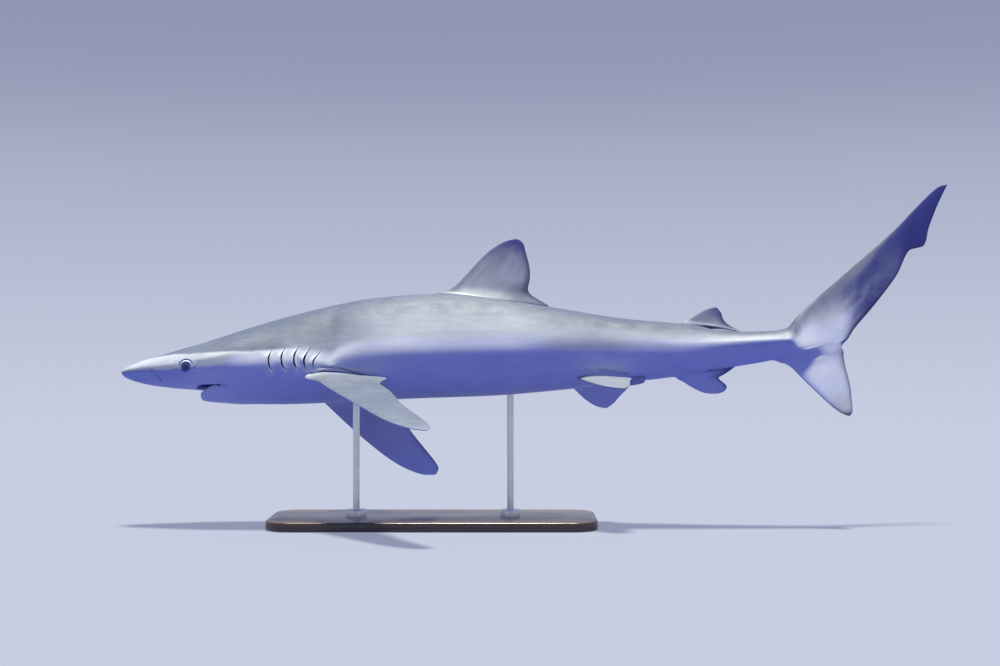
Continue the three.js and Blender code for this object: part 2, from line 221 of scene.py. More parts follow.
# Uneven patches between a low and a high value, such as stain, mottling, smears or polish.
mottle_tree = bpy.data.node_groups.new("mottle", "ShaderNodeTree")
mottle_tree.interface.new_socket("Place", in_out="INPUT", socket_type="NodeSocketVector")
for label in ("Scale", "Detail", "Low", "High"):
    mottle_tree.interface.new_socket(label, in_out="INPUT", socket_type="NodeSocketFloat")
mottle_tree.interface.new_socket("Value", in_out="OUTPUT", socket_type="NodeSocketFloat")
given = mottle_tree.nodes.new("NodeGroupInput").outputs
mottle_noise = add_node(
    mottle_tree, "ShaderNodeTexNoise",
    {"Vector": given["Place"], "Scale": given["Scale"], "Detail": given["Detail"], "Roughness": 0.55},
)
mottle_range = add_node(
    mottle_tree, "ShaderNodeMapRange",
    {"Value": mottle_noise.outputs["Fac"], "From Min": 0.28, "From Max": 0.72,
     "To Min": given["Low"], "To Max": given["High"]},
    interpolation_type="SMOOTHSTEP",
)
add_node(mottle_tree, "NodeGroupOutput", {"Value": mottle_range.outputs["Result"]})


def add_mottle(tree, place, scale, low, high, detail=5.0):
    """Places the mottle group and returns its value."""
    inputs = {"Place": place, "Scale": scale, "Detail": detail, "Low": low, "High": high}
    return add_node(tree, "ShaderNodeGroup", inputs, node_tree=mottle_tree).outputs["Value"]


def add_place(tree, scale=(1, 1, 1), turn=(0, 0, 0), place=None):
    """Stretches or turns a place, or else the object's coordinates."""
    if place is None:
        place = add_node(tree, "ShaderNodeTexCoord").outputs["Object"]
    inputs = {"Vector": place, "Scale": scale, "Rotation": turn}
    return add_node(tree, "ShaderNodeMapping", inputs).outputs["Vector"]


def add_noise(tree, place, scale, detail, **others):
    """A cloudy value. others fill more of the noise's inputs."""
    inputs = {"Vector": place, "Scale": scale, "Detail": detail, **others}
    return add_node(tree, "ShaderNodeTexNoise", inputs).outputs["Fac"]


def add_ramp(tree, share, stops):
    """Colours run from stop to stop, each (place, colour)."""
    ramp = add_node(tree, "ShaderNodeValToRGB", {"Fac": share})
    elements = ramp.color_ramp.elements
    elements.remove(elements[1])
    for stop, (where, colour) in enumerate(stops):
        element = elements.new(where) if stop else elements[0]
        element.position, element.color = where, colour
    return ramp.outputs["Color"]


def add_bump(tree, height, strength, distance):
    """Normals that follow a height."""
    inputs = {"Height": height, "Strength": strength, "Distance": distance}
    return add_node(tree, "ShaderNodeBump", inputs).outputs["Normal"]


WOOD_TONES = ((0.30, (0.021, 0.012, 0.008, 1)), (0.68, (0.072, 0.040, 0.024, 1)))

stained_wood, wood_tree, wood_shader = new_material("stained_walnut")
grain_place = add_place(wood_tree, scale=(0.7, 9.0, 9.0))
pore_place = add_place(wood_tree, scale=(14.0, 260.0, 260.0))
grain = add_noise(wood_tree, grain_place, 7.0, 9.0, Roughness=0.62, Distortion=0.7)
set_inputs(wood_shader, {
    "Base Color": add_ramp(wood_tree, grain, WOOD_TONES),
    "Roughness": add_mottle(wood_tree, add_place(wood_tree), 6.0, 0.24, 0.40),
    "Normal": add_bump(wood_tree, add_noise(wood_tree, pore_place, 3.0, 3.0), 0.12, 0.0006),
    "Coat Weight": 0.4, "Coat Roughness": 0.12,
})
board.data.materials.append(stained_wood)
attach(board, "root")
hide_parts("stand_base")

# ---- Stand: rods ----------------------------------------------------------------------------
# Two rods of brushed stainless steel, bolted to the board from below. Their tops are let a few
# millimetres into the belly.

ROD_LET_IN = 0.003
STEEL_COLOUR = (0.62, 0.63, 0.66, 1)

brushed_steel, steel_tree, steel_shader = new_material("brushed_steel")
ring_marks = add_noise(steel_tree, add_place(steel_tree, scale=(4.0, 4.0, 900.0)), 1.0, 4.0)
set_inputs(steel_shader, {
    "Base Color": STEEL_COLOUR, "Metallic": 1.0,
    "Roughness": add_mottle(steel_tree, add_place(steel_tree), 25.0, 0.26, 0.40),
    "Normal": add_bump(steel_tree, ring_marks, 0.10, 0.0003),
})

for end in ("front", "rear"):
    low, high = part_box(f"stand_rod_{end}")
    radius, top = (high.x - low.x) / 2, high.z + ROD_LET_IN
    rod = add_piece(
        f"support_rod_{end}", bpy.ops.mesh.primitive_cylinder_add, vertices=48, radius=radius,
        depth=top - low.z,
    )
    open_mesh()
    bpy.ops.transform.translate(
        value=((low.x + high.x) / 2, (low.y + high.y) / 2, (low.z + top) / 2)
    )
    bpy.ops.object.mode_set(mode="OBJECT")
    bpy.ops.object.shade_smooth_by_angle(angle=radians(40))
    rod.data.materials.append(brushed_steel)
    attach(rod, "root")
    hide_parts(f"stand_rod_{end}")

# ---- Stand: collars -------------------------------------------------------------------------
# A turned steel collar sits on the board round each rod's foot, and a hexagon socket screw in its
# side clamps the rod.

COLLAR_EASE, SCREW_RADIUS, SOCKET_RADIUS, SOCKET_DEPTH = 0.003, 0.0042, 0.0022, 0.0022
SCREW_LENGTH, SCREW_IN, SCREW_DOWN = 0.004, 0.0012, 0.001  # in from the side, down from the middle


def choose_only(piece):
    """Selects one object and makes it the active one."""
    bpy.ops.object.select_all(action="DESELECT")
    piece.select_set(True)
    bpy.context.view_layer.objects.active = piece


for end in ("front", "rear"):
    low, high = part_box(f"stand_collar_{end}")
    middle = (low + high) / 2
    collar = add_piece(
        f"rod_collar_{end}", bpy.ops.mesh.primitive_cylinder_add, vertices=64,
        radius=(high.x - low.x) / 2, depth=high.z - low.z, location=middle,
    )
    bpy.ops.object.transform_apply(location=True, rotation=True, scale=True)
    open_mesh()
    choose_level_edges(collar, high.z)
    bpy.ops.mesh.bevel(offset=COLLAR_EASE, segments=4)
    bpy.ops.object.mode_set(mode="OBJECT")
    screw = add_piece(
        f"collar_screw_{end}", bpy.ops.mesh.primitive_cylinder_add, vertices=24, radius=SCREW_RADIUS,
        depth=SCREW_LENGTH, rotation=(pi / 2, 0, 0),
        location=(middle.x, low.y + SCREW_IN, middle.z - SCREW_DOWN),
    )
    bpy.ops.object.transform_apply(location=True, rotation=True, scale=True)
    bpy.ops.object.mode_set(mode="EDIT")
    bpy.ops.mesh.select_mode(type="FACE")
    bpy.ops.mesh.select_all(action="DESELECT")
    shape = bmesh.from_edit_mesh(screw.data)
    for face in shape.faces:
        face.select = face.normal.y < -0.9
    bmesh.update_edit_mesh(screw.data)
    bpy.ops.mesh.inset(thickness=SCREW_RADIUS - SOCKET_RADIUS)
    bpy.ops.mesh.extrude_region_move(TRANSFORM_OT_translate={"value": (0, SOCKET_DEPTH, 0)})
    bpy.ops.object.mode_set(mode="OBJECT")
    for piece in (collar, screw):
        choose_only(piece)
        bpy.ops.object.shade_smooth_by_angle(angle=radians(35))
        piece.data.materials.append(brushed_steel)
        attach(piece, "root")
    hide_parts(f"stand_collar_{end}")

# ---- Skin: the form of the body -------------------------------------------------------------
# A blue shark's hide is one tough skin from snout to tail, set with scales too fine to see. It is
# drawn here in millimetres, level: x back from the tip of the snout, the left side at -y, and
# z = 0 along the body's long line. The stance then banks the whole shark and sets it on its rods.

BANK, LINE_HEIGHT, MILLIMETRE = radians(13), 0.420, 0.001
STANCE = (
    Matrix.Translation((snout_x, 0, LINE_HEIGHT)) @ Matrix.Rotation(-BANK, 4, "X")
    @ Matrix.Diagonal((MILLIMETRE, MILLIMETRE, MILLIMETRE, 1))
)
STALK_END = 1590
SWING_START, SWING_LENGTH, SWING_REACH = 820, 900, 45  # of the tail, towards the left
FIN_EDGE = 0.6  # half the thickness of a fin's margins

# Distance back, back line, belly line without the jaw, half width, level of the widest.
BODY = (
    (0, -56, -56, 0, -56),
    (30, -35, -75.5, 31, -54),
    (66, -21.5, -84, 44, -51.5),
    (113, -7.5, -89.5, 59, -52),
    (160, 6.5, -92.5, 73, -50),
    (189, 14.5, -94.5, 80, -47),
    (238, 31, -108, 87, -38),
    (285, 47, -126, 91, -32),
    (330, 61.5, -130.5, 93, -33),
    (381, 77, -130.5, 94.5, -35.5),
    (430, 90.6, -129.5, 96, -36),
    (476, 102, -127.5, 97, -44),
    (505, 108.9, -125.9, 97.4, -46),
    (532, 114.3, -124.3, 97.7, -26),
    (600, 126, -121, 98, -5),
    (762, 137.5, -114.5, 98, 3),
    (880, 127, -110.5, 94, 7.5),
    (1048, 99, -98, 80, 12.5),
    (1200, 72, -82, 62, 10),
    (1335, 57.5, -69, 48, 5),
    (1413, 43.5, -56, 41.5, 5),
    (1500, 36.5, -42.5, 36, 8),
    (1559, 38, -33, 33.5, 10),
    (STALK_END, 46, -30, 31, 12),
)
JAW_FRONT, JAW_CORNER, JAW_HALF_WIDTH, JAW_DEPTH, JAW_END = 185, 243, 72, 21, 315


def ease(value, start, end):
    """0 before start, 1 after end, and smoothly between."""
    s = min(max((value - start) / (end - start), 0), 1)
    return s * s * (3 - 2 * s)


def smooth_through(knots, values):
    """A smooth line through values at knots that never swings past them."""
    steps = [after - before for before, after in zip(knots, knots[1:])]
    slopes = [(values[i + 1] - values[i]) / step for i, step in enumerate(steps)]
    turns = [slopes[0]]
    for i in range(1, len(steps)):
        one, two = 2 * steps[i] + steps[i - 1], steps[i] + 2 * steps[i - 1]
        level = slopes[i - 1] * slopes[i] <= 0
        turns.append(0 if level else (one + two) / (one / slopes[i - 1] + two / slopes[i]))
    turns.append(slopes[-1])

    def line(knot):
        i = 0
        while i < len(steps) - 1 and knot > knots[i + 1]:
            i += 1
        s = min(max((knot - knots[i]) / steps[i], 0), 1)
        leaving = (turns[i] - slopes[i]) * s * (1 - s) * (1 - s)
        arriving = (slopes[i] - turns[i + 1]) * s * s * (1 - s)
        return values[i] + steps[i] * (slopes[i] * s + leaving + arriving)

    return line


def station_line(column):
    """One column of the body's table as a smooth line over the distance back."""
    line = smooth_through([sqrt(row[0]) for row in BODY], [row[column] for row in BODY])
    return lambda x: line(sqrt(max(x, 0)))


back_line, belly_line, half_width, widest_level = (station_line(column) for column in range(1, 5))


def swing(x):
    return -SWING_REACH * ease(x, SWING_START, SWING_START + SWING_LENGTH)


def jaw_drop(x, side):
    """How far the lower jaw and throat hang below the belly line."""
    if x <= JAW_FRONT:
        return 0
    arch = JAW_HALF_WIDTH * min(1, (x - JAW_FRONT) / (JAW_CORNER - JAW_FRONT)) ** 0.5
    along = ease(x, JAW_FRONT - 2, JAW_FRONT + 8) * (1 - ease(x, JAW_CORNER - 28, JAW_END))
    chin = 1 + 0.24 * (1 - ease(x, 198, 250))
    return JAW_DEPTH * chin * along * max(0, 1 - (side / arch) ** 2) ** 0.7


def underside_power(x):
    """Flattens the underside, most of all by the eyes; at 1 it is an ellipse."""
    return 2 / (2.5 - 0.5 * (1 - exp(-(((x - 180) / 110) ** 2)))) + 0.25 * ease(x, 1330, 1500)


def upside_power(x):
    """Slopes the top of the head down to its sides, like a lens; at 1 it is an ellipse."""
    return 1 + 0.22 * (1 - ease(x, 260, 620)) + 0.2 * ease(x, 1330, 1500)


def body_point(x, angle, jaw=True):
    """The body's surface. The angle, in degrees, runs from the back by the left flank."""
    up, out = cos(radians(angle)), sin(radians(angle))
    power = (upside_power if up > 0 else underside_power)(x)
    up = abs(up) ** power * (1 if up > 0 else -1)
    out = abs(out) ** power * (1 if out > 0 else -1)
    level = widest_level(x)
    height = back_line(x) - level if up > 0 else level - belly_line(x)
    side = half_width(x) * out
    drop = jaw_drop(x, side) if jaw and up < 0 else 0
    return Vector((x, swing(x) - side, level + height * up - drop))


def angle_at(x, z):
    """The angle, in degrees, at which the left flank reaches the level z."""
    level = widest_level(x)
    if z > level:
        return degrees(acos(min(1, (z - level) / (back_line(x) - level)) ** (1 / upside_power(x))))
    part = min(1, (level - z) / (level - belly_line(x))) ** (1 / underside_power(x))
    return degrees(pi / 2 + asin(part))


# ---- Skin: the net of rings and columns -----------------------------------------------------
# The hide is laid as a flat grid of rings, from snout to tail, by columns, from the belly's middle
# over the left flank, back and right flank to the belly again, and wrapped round the body. Rings
# bend to follow the mouth's arch and the gill slits, and crowd where a fin will grow.

COLUMNS = 17  # faces from the back's middle to the belly's, on each side
EYE_X, EYE_LEVEL, EYE_COLUMN = 166, -55.5, 8
MOUTH_COLUMN = 13  # at the mouth's corners
SLIT_TOP, SLIT_FOOT, SHORT_SLIT_FOOT = 7, 12, 10  # columns at the ends of the gill slits
PECTORAL_COLUMN, PELVIC_COLUMN = 12, 13

# Gill slits of one side: distance back of the middle, how far the top and the foot lie behind it,
# and the column at its foot.
GILL_SLITS = (
    (363.5, 6.5, 9, SLIT_FOOT), (393.5, 7.5, 12, SLIT_FOOT), (423, 11, 8, SLIT_FOOT),
    (447.5, 13.5, 5, SHORT_SLIT_FOOT), (470, 14.5, 1.5, SHORT_SLIT_FOOT),
)
SLIT_OPEN = 2.7  # half the width of a slit at its middle


def between(anchors, where):
    """The value at where on straight lines between anchors, {place: value}."""
    places = sorted(anchors)
    if where <= places[0]:
        return anchors[places[0]]
    for start, end in zip(places, places[1:]):
        if where <= end:
            share = (where - start) / (end - start)
            return anchors[start] + (anchors[end] - anchors[start]) * share
    return anchors[places[-1]]


def arch(column):
    """How far the mouth's line has come from its corner, 0, to the middle of its front, 1."""
    return {14: 0.38, 15: 0.70, 16: 0.92, 17: 1.0}.get(column, 0.0)


rings = []  # each ring's distance back, {column: x}
marks = {}  # the number of the first ring of each feature


def lay_head_ring(x, bend):
    rings.append({0: x, **{column: x - bend * arch(column) for column in range(13, 18)}})


HEAD_RINGS = (0, 2.2, 8, 18, 32, 48, 65, 82, 98, 113, 127, 139, 151, 166, 181, 195, 210, 226)
HEAD_BEND, UPPER_LIP_BEND, LOWER_LIP_BEND = 58, 64, 54  # how far forward the arch bends a ring
for x in HEAD_RINGS:
    lay_head_ring(x, HEAD_BEND * ease(x, 60, JAW_CORNER))
marks["nostril"], marks["eye"] = HEAD_RINGS.index(98), HEAD_RINGS.index(151)
marks["lips"] = len(rings)
lay_head_ring(JAW_CORNER, UPPER_LIP_BEND)
lay_head_ring(JAW_CORNER + 3, LOWER_LIP_BEND)
for x in (252, 267, 286, 306, 326, 344):
    lay_head_ring(x, HEAD_BEND * (1 - ease(x, JAW_CORNER, 350)))


def slit_x(slit, column):
    """Distance back of a gill slit's curve at a column."""
    middle, top_back, foot_back, foot = slit
    t = min(max((column - SLIT_TOP) / (foot - SLIT_TOP), 0), 1)
    bow = -(top_back + foot_back) / 2
    return middle + (1 - t) ** 2 * top_back + 2 * t * (1 - t) * bow + t * t * foot_back


# Away from the slits the gill rings keep to even spaces, and below them to the pectoral fin's.
EVEN_GILL_RINGS = (357, 368, 378, 388, 398, 408, 418, 429, 440, 447, 453, 462, 472, 482, 495)
SLIT_ENDS = 0.3  # how far a slit is open at its ends, as a share
marks["gills"] = len(rings)
marks["pectoral"] = marks["gills"] + EVEN_GILL_RINGS.index(440)
for number, even in enumerate(EVEN_GILL_RINGS):
    slit_number, part = divmod(number, 3)
    slit = GILL_SLITS[slit_number]
    ring = {5: even, 13: even}
    for column in range(SLIT_TOP, slit[-1] + 1):
        if part == 2 and slit_number < 4:
            after = slit_x(GILL_SLITS[slit_number + 1], column)
            ring[column] = (slit_x(slit, column) + after) / 2
        elif part < 2:
            share = SLIT_ENDS if column in (SLIT_TOP, slit[-1]) else 1
            ring[column] = slit_x(slit, column) + (2 * part - 1) * SLIT_OPEN * share
    if slit[-1] == SHORT_SLIT_FOOT:
        ring[PECTORAL_COLUMN - 1] = even
    rings.append(ring)


def lay_rings(places, name=None):
    """Lays straight rings at distances back; name marks the first of them."""
    if name:
        marks[name] = len(rings)
    rings.extend({0: place} for place in places)


def share_out(start, end, chords):
    """Distances back at shares of a root's length."""
    return [start + (end - start) * chord for chord in chords]


FIRST_DORSAL_CHORDS = (0, 0.06, 0.15, 0.27, 0.41, 0.56, 0.71, 0.84, 0.94, 1)
PELVIC_CHORDS = (0, 0.08, 0.2, 0.36, 0.54, 0.72, 0.88, 1)
HIND_CHORDS = (0, 0.09, 0.24, 0.44, 0.66, 0.86, 1)
lay_rings((510, 525, 539, 552, 578, 606, 638, 672, 708))
lay_rings(share_out(740, 937, FIRST_DORSAL_CHORDS), "first_dorsal")
lay_rings((960, 988, 1018, 1046))
lay_rings(share_out(1068, 1177, PELVIC_CHORDS), "pelvic")
marks["clasper"] = len(rings) - 1
lay_rings((1191, 1208, 1234, 1264, 1294))
marks["second_dorsal"] = marks["anal"] = len(rings)
for over, under in zip(share_out(1331, 1406, HIND_CHORDS), share_out(1319, 1404, HIND_CHORDS)):
    rings.append({2: over, 15: under})
lay_rings((1426, 1454, 1484, 1512, 1536))
lay_rings((1554, 1561, 1573, STALK_END), "lower_lobe")
marks["upper_lobe"] = len(rings) - 1

# Beyond the body's last ring the net goes on over the upper lobe of the tail fin; each ring there
# has a place along the lobe's ribs.
UPPER_LOBE_RINGS = (0.45, 1, 1.5, 2, 2.5, 2.93, 3.5, 4.1, 4.8, 5.5, 6.2, 6.9, 7.5, 8, 8.35, 8.7,
                    9, 9.5, 10, 10.5, 11, 11.5, 11.85, 12)
LAST_RING = len(rings) - 1 + len(UPPER_LOBE_RINGS)

# Heights on the flank of some columns, at distances back; the others are spaced evenly between.
COLUMN_HEIGHTS = (
    (0, {}), (60, {}), (151, {7: -42, 8: -53, 9: -67}), (181, {7: -37.5, 8: -49, 9: -66}),
    (243, {7: -28, 13: -97.5}), (285, {7: -24.5, 13: -103.5}), (357, {7: -22.5, 12: -76.5}),
    (373, {7: -21, 12: -75.5}), (404, {7: -13.5, 12: -73.5}), (432, {7: -10.5, 12: -68.5}),
    (440, {7: -11.5, 10: -69, 11: -73, 12: -79, 13: -87}),
    (462, {7: -14, 10: -70.5, 11: -73.5, 12: -79.5, 13: -88}),
    (472, {7: -19.5, 10: -70, 11: -73, 12: -79.5, 13: -88.5}),
    (488, {7: -25, 11: -69, 12: -78, 13: -89}), (510, {7: -12, 11: -65.5, 12: -77, 13: -89}),
    (552, {7: 7, 11: -69, 12: -78.5, 13: -87.5}), (650, {7: 35.5, 12: -71}), (1000, {12: -63}),
    (1068, {12: -72.5, 13: -77.5, 14: -81.5}), (1100, {12: -69.5, 13: -76.5, 14: -82.5}),
    (1177, {12: -68.5, 13: -72.5, 14: -75.5}), (1250, {}), (STALK_END, {}),
)
COLUMN_ANGLES = [
    (x, {0: 0, COLUMNS: 180, **{column: angle_at(x, z) for column, z in heights.items()}})
    for x, heights in COLUMN_HEIGHTS
]


def column_angle(x, column):
    """Degrees from the back at which a column crosses a place."""
    last = len(COLUMN_ANGLES) - 2
    i = max(i for i in range(last + 1) if COLUMN_ANGLES[i][0] <= x or i == 0)
    (start, before), (end, after) = COLUMN_ANGLES[i], COLUMN_ANGLES[i + 1]
    share = min(max((x - start) / (end - start), 0), 1)
    return between(before, column) * (1 - share) + between(after, column) * share


# ---- Skin: the forms of the fins ------------------------------------------------------------
# A shark's fin is a stiff blade on a fan of cartilage rods. Each is given as ribs from inside the
# root to the tip: front (a, b), back (a, b) and thickness. On the midline a is x and b is z; on the
# paired fins a runs back and b outwards from the front of the root.

FIRST_DORSAL = (
    ((746, 116), (932, 96), 30), ((746, 137), (934, 118), 26), ((776, 147), (1022, 108), 18),
    ((800, 163), (974, 144), 14), ((832, 198), (978, 181), 11), ((862, 231), (975, 213), 9),
    ((895, 258.5), (967, 245), 6.5), ((926, 273.5), (961, 266), 4), ((948, 277), (948, 277), 1.5),
)
SECOND_DORSAL = (
    ((1334, 38), (1404, 26), 17), ((1334, 57), (1405, 43.5), 14), ((1349, 65), (1486, 39.5), 9),
    ((1362, 72), (1454, 53), 7), ((1384, 86), (1438, 69), 5.5), ((1405, 95), (1433, 85), 4),
    ((1423, 98.5), (1423, 98.5), 1.5),
)
ANAL = (
    ((1322, -54), (1402, -40), 17), ((1322, -72), (1403, -54), 14), ((1339, -83), (1463, -46.5), 10),
    ((1351, -91), (1436, -67), 8), ((1362, -98), (1423, -75), 7), ((1380, -107.5), (1433, -86), 5.5),
    ((1402, -113), (1442, -98), 4), ((1430, -111.5), (1430, -111.5), 1.5),
)
PECTORAL = (
    ((0, -26), (100, -26), 34), ((0, 0), (105, 0), 27), ((8, 17), (193, 13), 19),
    ((27, 52), (176, 49), 15), ((54, 98), (200, 100), 12.5), ((116, 192), (236, 187), 10),
    ((188, 287), (283, 281), 7), ((259, 356), (311, 344), 4), ((303, 372), (303, 372), 1.5),
)
PELVIC = (
    ((2, -18), (98, -18), 22), ((0, 0), (103, 0), 18), ((13, 19), (141, 11), 11),
    ((32, 46), (128, 44), 8), ((57, 76), (117, 74), 6), ((79, 93), (106, 91), 4),
    ((99, 99.5), (99, 99.5), 1.5),
)
CAUDAL_UPPER = (
    ((STALK_END, 46), (STALK_END, -30), 62), ((1621, 80), (1626, -21), 40),
    ((1671, 126), (1672, -10), 21), ((1721, 169), (1717, 0), 15), ((1771, 212), (1743, 36), 13),
    ((1822, 256), (1788, 88), 10), ((1862, 292), (1838, 149), 8), ((1881, 311), (1864, 188), 7),
    ((1897, 328), (1888, 234), 6), ((1912, 343), (1926, 249), 5), ((1940, 371), (1938, 287), 4),
    ((1970, 396), (1962, 345), 3), ((1990.8, 401.4), (1990.8, 401.4), 1.5),
)
CAUDAL_LOWER = (
    ((1552, -16), (1711, 14), 24), ((1560, -34), (1718, -4), 20), ((1588, -46), (1719, -27), 14),
    ((1615, -73), (1722, -50), 11), ((1658, -118), (1731, -94), 8), ((1694, -152), (1734, -141), 5),
    ((1715, -165), (1734, -158), 3), ((1728, -169), (1728, -169), 1.5),
)


def curve_point(points, place):
    """The point at place, 0 at the first of points, 1 at the next, on a smooth curve."""
    i = min(int(place), len(points) - 2)
    b, c = Vector(points[i]), Vector(points[i + 1])
    a = Vector(points[i - 1]) if i else 2 * b - c
    d = Vector(points[i + 2]) if i + 2 < len(points) else 2 * c - b
    u, v, w = ((one - two).length ** 0.5 for one, two in ((a, b), (b, c), (c, d)))
    leaving = ((b - a) / u - (c - a) / (u + v) + (c - b) / v) * v
    arriving = ((c - b) / v - (d - b) / (v + w) + (d - c) / w) * v
    s = place - i
    return (
        (2 * s**3 - 3 * s**2 + 1) * b + (s**3 - 2 * s**2 + s) * leaving
        + (3 * s**2 - 2 * s**3) * c + (s**3 - s**2) * arriving
    )


def rib_point(ribs, place, chord, oval=0, flat=0):
    """(a, b) of a blade at a place along its ribs and across its chord, and half its thickness.

    Its section is a wing's, or an oval; flat squares the oval towards a plate."""
    front = curve_point([(*rib[0], rib[2]) for rib in ribs], place)
    back = curve_point([(*rib[1], rib[2]) for rib in ribs], place)
    wing = (
        2.969 * sqrt(chord) - 1.26 * chord - 3.516 * chord**2 + 2.843 * chord**3
        - 1.036 * chord**4
    )
    power = 2 + 4 * flat
    section = wing + (max(0, 1 - abs(2 * chord - 1) ** power) ** (1 / power) - wing) * oval
    half = FIN_EDGE + max(0, front.z / 2 - FIN_EDGE) * section
    point = front.lerp(back, chord)
    return point.x, point.y, half


def on_midline(a, b, h):
    return Vector((a, swing(a) + h, b))


def on_side(side, root, droop, pitch):
    """Places a paired fin on its side (-1 is the left). root is (x, side, z, pitch) of its front."""
    x, out, z, root_pitch = root
    down = radians(droop)
    outwards = Vector((0, side * cos(down), -sin(down)))
    upwards = Vector((0, side * sin(down), cos(down)))

    def place(a, b, h):
        turn = radians(root_pitch + (pitch - root_pitch) * ease(b, 0, 110))
        back, up = a * cos(turn) + h * sin(turn), h * cos(turn) - a * sin(turn)
        base = Vector((x + back, swing(x + back) + side * out, z))
        return base + outwards * b + upwards * up

    return place


PECTORAL_ROOT, PELVIC_ROOT = (445, 78, -72, 4), (1072, 41, -78, 0)


def lobe_angle(place, column):
    """The columns' angles on the upper lobe; they leave room for the lower lobe's root."""
    low = 154 + 12 * ease(place, 2.9, 3.6)
    return between({0: 0, 16: low, 17: 180}, column)


def upper_lobe_point(place, column):
    chord = 0.5 - 0.5 * cos(radians(lobe_angle(place, abs(column))))
    oval, flat = 1 - ease(place, 2.7, 4.8), ease(place, 0, 1.4)
    a, b, half = rib_point(CAUDAL_UPPER, place, chord, oval, flat)
    if column == 0 or abs(column) == COLUMNS:
        half = 0
    return on_midline(a, b, -half if column > 0 else half)


def inner(chord):
    """A share of the chord kept off the very edges, where a blade has no thickness."""
    return min(max(chord, 0.012), 0.985)


def root_widths(ribs, chords, rib, extra):
    """Half widths of the patch that a midline fin grows from, one for each ring."""
    return [rib_point(ribs, rib, inner(chord))[2] + extra for chord in chords]


LOWER_LOBE_CHORDS = (0, 0.03, 0.10, 0.21, 0.32, 0.44, 0.58, 0.72, 0.87, 1)
MIDLINE_ROOTS = (
    ("first_dorsal", 1, root_widths(FIRST_DORSAL, FIRST_DORSAL_CHORDS, 1, 3.5)),
    ("second_dorsal", 1, root_widths(SECOND_DORSAL, HIND_CHORDS, 1, 2.5)),
    ("anal", 16, root_widths(ANAL, HIND_CHORDS, 1, 2.5)),
    ("lower_lobe", 16, root_widths(CAUDAL_LOWER, LOWER_LOBE_CHORDS[:4], 0.7, 1.5)),
)


def net_point(number, column):
    """Where the net's corner at a ring and column lies."""
    if number > marks["upper_lobe"]:
        return upper_lobe_point(UPPER_LOBE_RINGS[number - marks["upper_lobe"] - 1], column)
    x = between(rings[number], abs(column))
    angle = column_angle(x, abs(column))
    for name, root_column, widths in MIDLINE_ROOTS:
        first = marks[name]
        if abs(column) == root_column and first <= number < first + len(widths):
            turn = degrees(asin(min(0.9, widths[number - first] / half_width(x))))
            angle = turn if root_column == 1 else 180 - turn
    return body_point(x, angle if column > 0 else -angle, jaw=number > marks["lips"])


# ---- Skin: laying the net -------------------------------------------------------------------
# The grid is added flat and wrapped; each corner remembers its ring and column, and what is later
# drawn out of it inherits them. Masks carry the colouring: fin is 1 on the fins, where tone runs
# from white, 0, to the dark back, 1; the dusk mask is how far a tip has darkened, and also painted
# shade inside the mouth and on the anal fin's free tip; margin marks the dark hem of a fin and blade
# the streaked fins of the midline; the lips' mask is a painted highlight on the lips of gill slits
# and on the eyes' upper rims; the hollows' mask is painted shade inside mouth, gills, eye sockets
# and nostrils, and in the crease over each eye.

skin = add_piece(
    "skin", bpy.ops.mesh.primitive_grid_add, x_subdivisions=LAST_RING, y_subdivisions=2 * COLUMNS,
    size=2,
)
bpy.ops.object.mode_set(mode="EDIT")
bpy.ops.mesh.select_mode(type="FACE")
NUMBERS = ("ring", "column")
MASKS = ("fin", "tone", "dusk", "margin", "blade", "pale", "lining")
net = bmesh.from_edit_mesh(skin.data)
for name in NUMBERS:
    net.verts.layers.int.new(name)
for name in MASKS:
    net.verts.layers.float.new(name)


def open_net():
    """The net in hand, and its layers by name."""
    net = bmesh.from_edit_mesh(skin.data)
    layers = {name: net.verts.layers.int[name] for name in NUMBERS}
    layers.update({name: net.verts.layers.float[name] for name in MASKS})
    return net, layers


def upper_lobe_masks(place, chord):
    """Grey along the front, white behind it at the root, and darker from half way, partly the fin's
    own dusk and partly painted shade.
    """
    start = between({0: 4.6, 0.12: 3.4, 0.22: 2.3, 0.4: 2.3, 0.7: 2.8, 1: 2.8}, chord)
    full = between({0: 7.0, 0.12: 5.6, 0.22: 4.3, 0.4: 4.3, 0.7: 5.2, 1: 5.0}, chord)
    at_root = between({0: 0.84, 0.1: 0.74, 0.2: 0.60, 0.3: 0.46, 0.4: 0.28, 0.5: 0.1, 1: 0.1}, chord)
    further = between({0: 0.88, 0.1: 0.80, 0.3: 0.62, 0.4: 0.48, 0.5: 0.34, 0.6: 0.24, 1: 0.2}, chord)
    return {
        "fin": ease(place, 0, 1.2), "blade": 1,
        "dusk": ease(place, start, full) * (0.9 + 0.1 * ease(place, 5.5, 8)),
        "tone": at_root + (further - at_root) * ease(place, 1, 2.2),
        "margin": ease(chord, 0.84, 0.97) * ease(place, 2.5, 3.3),
    }


net, layers = open_net()
for corner in net.verts:
    number = round((corner.co.x + 1) / 2 * LAST_RING)
    column = round((corner.co.y + 1) * COLUMNS) - COLUMNS
    corner[layers["ring"]], corner[layers["column"]] = number, column
    corner.co = net_point(number, column)
    if number > marks["upper_lobe"]:
        place = UPPER_LOBE_RINGS[number - marks["upper_lobe"] - 1]
        chord = 0.5 - 0.5 * cos(radians(lobe_angle(place, abs(column))))
        for name, value in upper_lobe_masks(place, chord).items():
            corner[layers[name]] = value
bmesh.update_edit_mesh(skin.data)
bpy.ops.mesh.select_all(action="SELECT")
bpy.ops.mesh.remove_doubles(threshold=0.02)
bpy.ops.mesh.select_all(action="SELECT")
bpy.ops.mesh.normals_make_consistent(inside=False)


def choose(first, last, low, high, side=0):
    """Selects the faces from ring first to last and column low to high, on one side or both."""
    bpy.ops.mesh.select_all(action="DESELECT")
    net, layers = open_net()
    for face in net.faces:
        face.select = all(
            first <= corner[layers["ring"]] <= last
            and low <= abs(corner[layers["column"]]) <= high
            and (not side or corner[layers["column"]] * side > 0)
            for corner in face.verts
        )
    net.select_flush(True)
    bmesh.update_edit_mesh(skin.data)


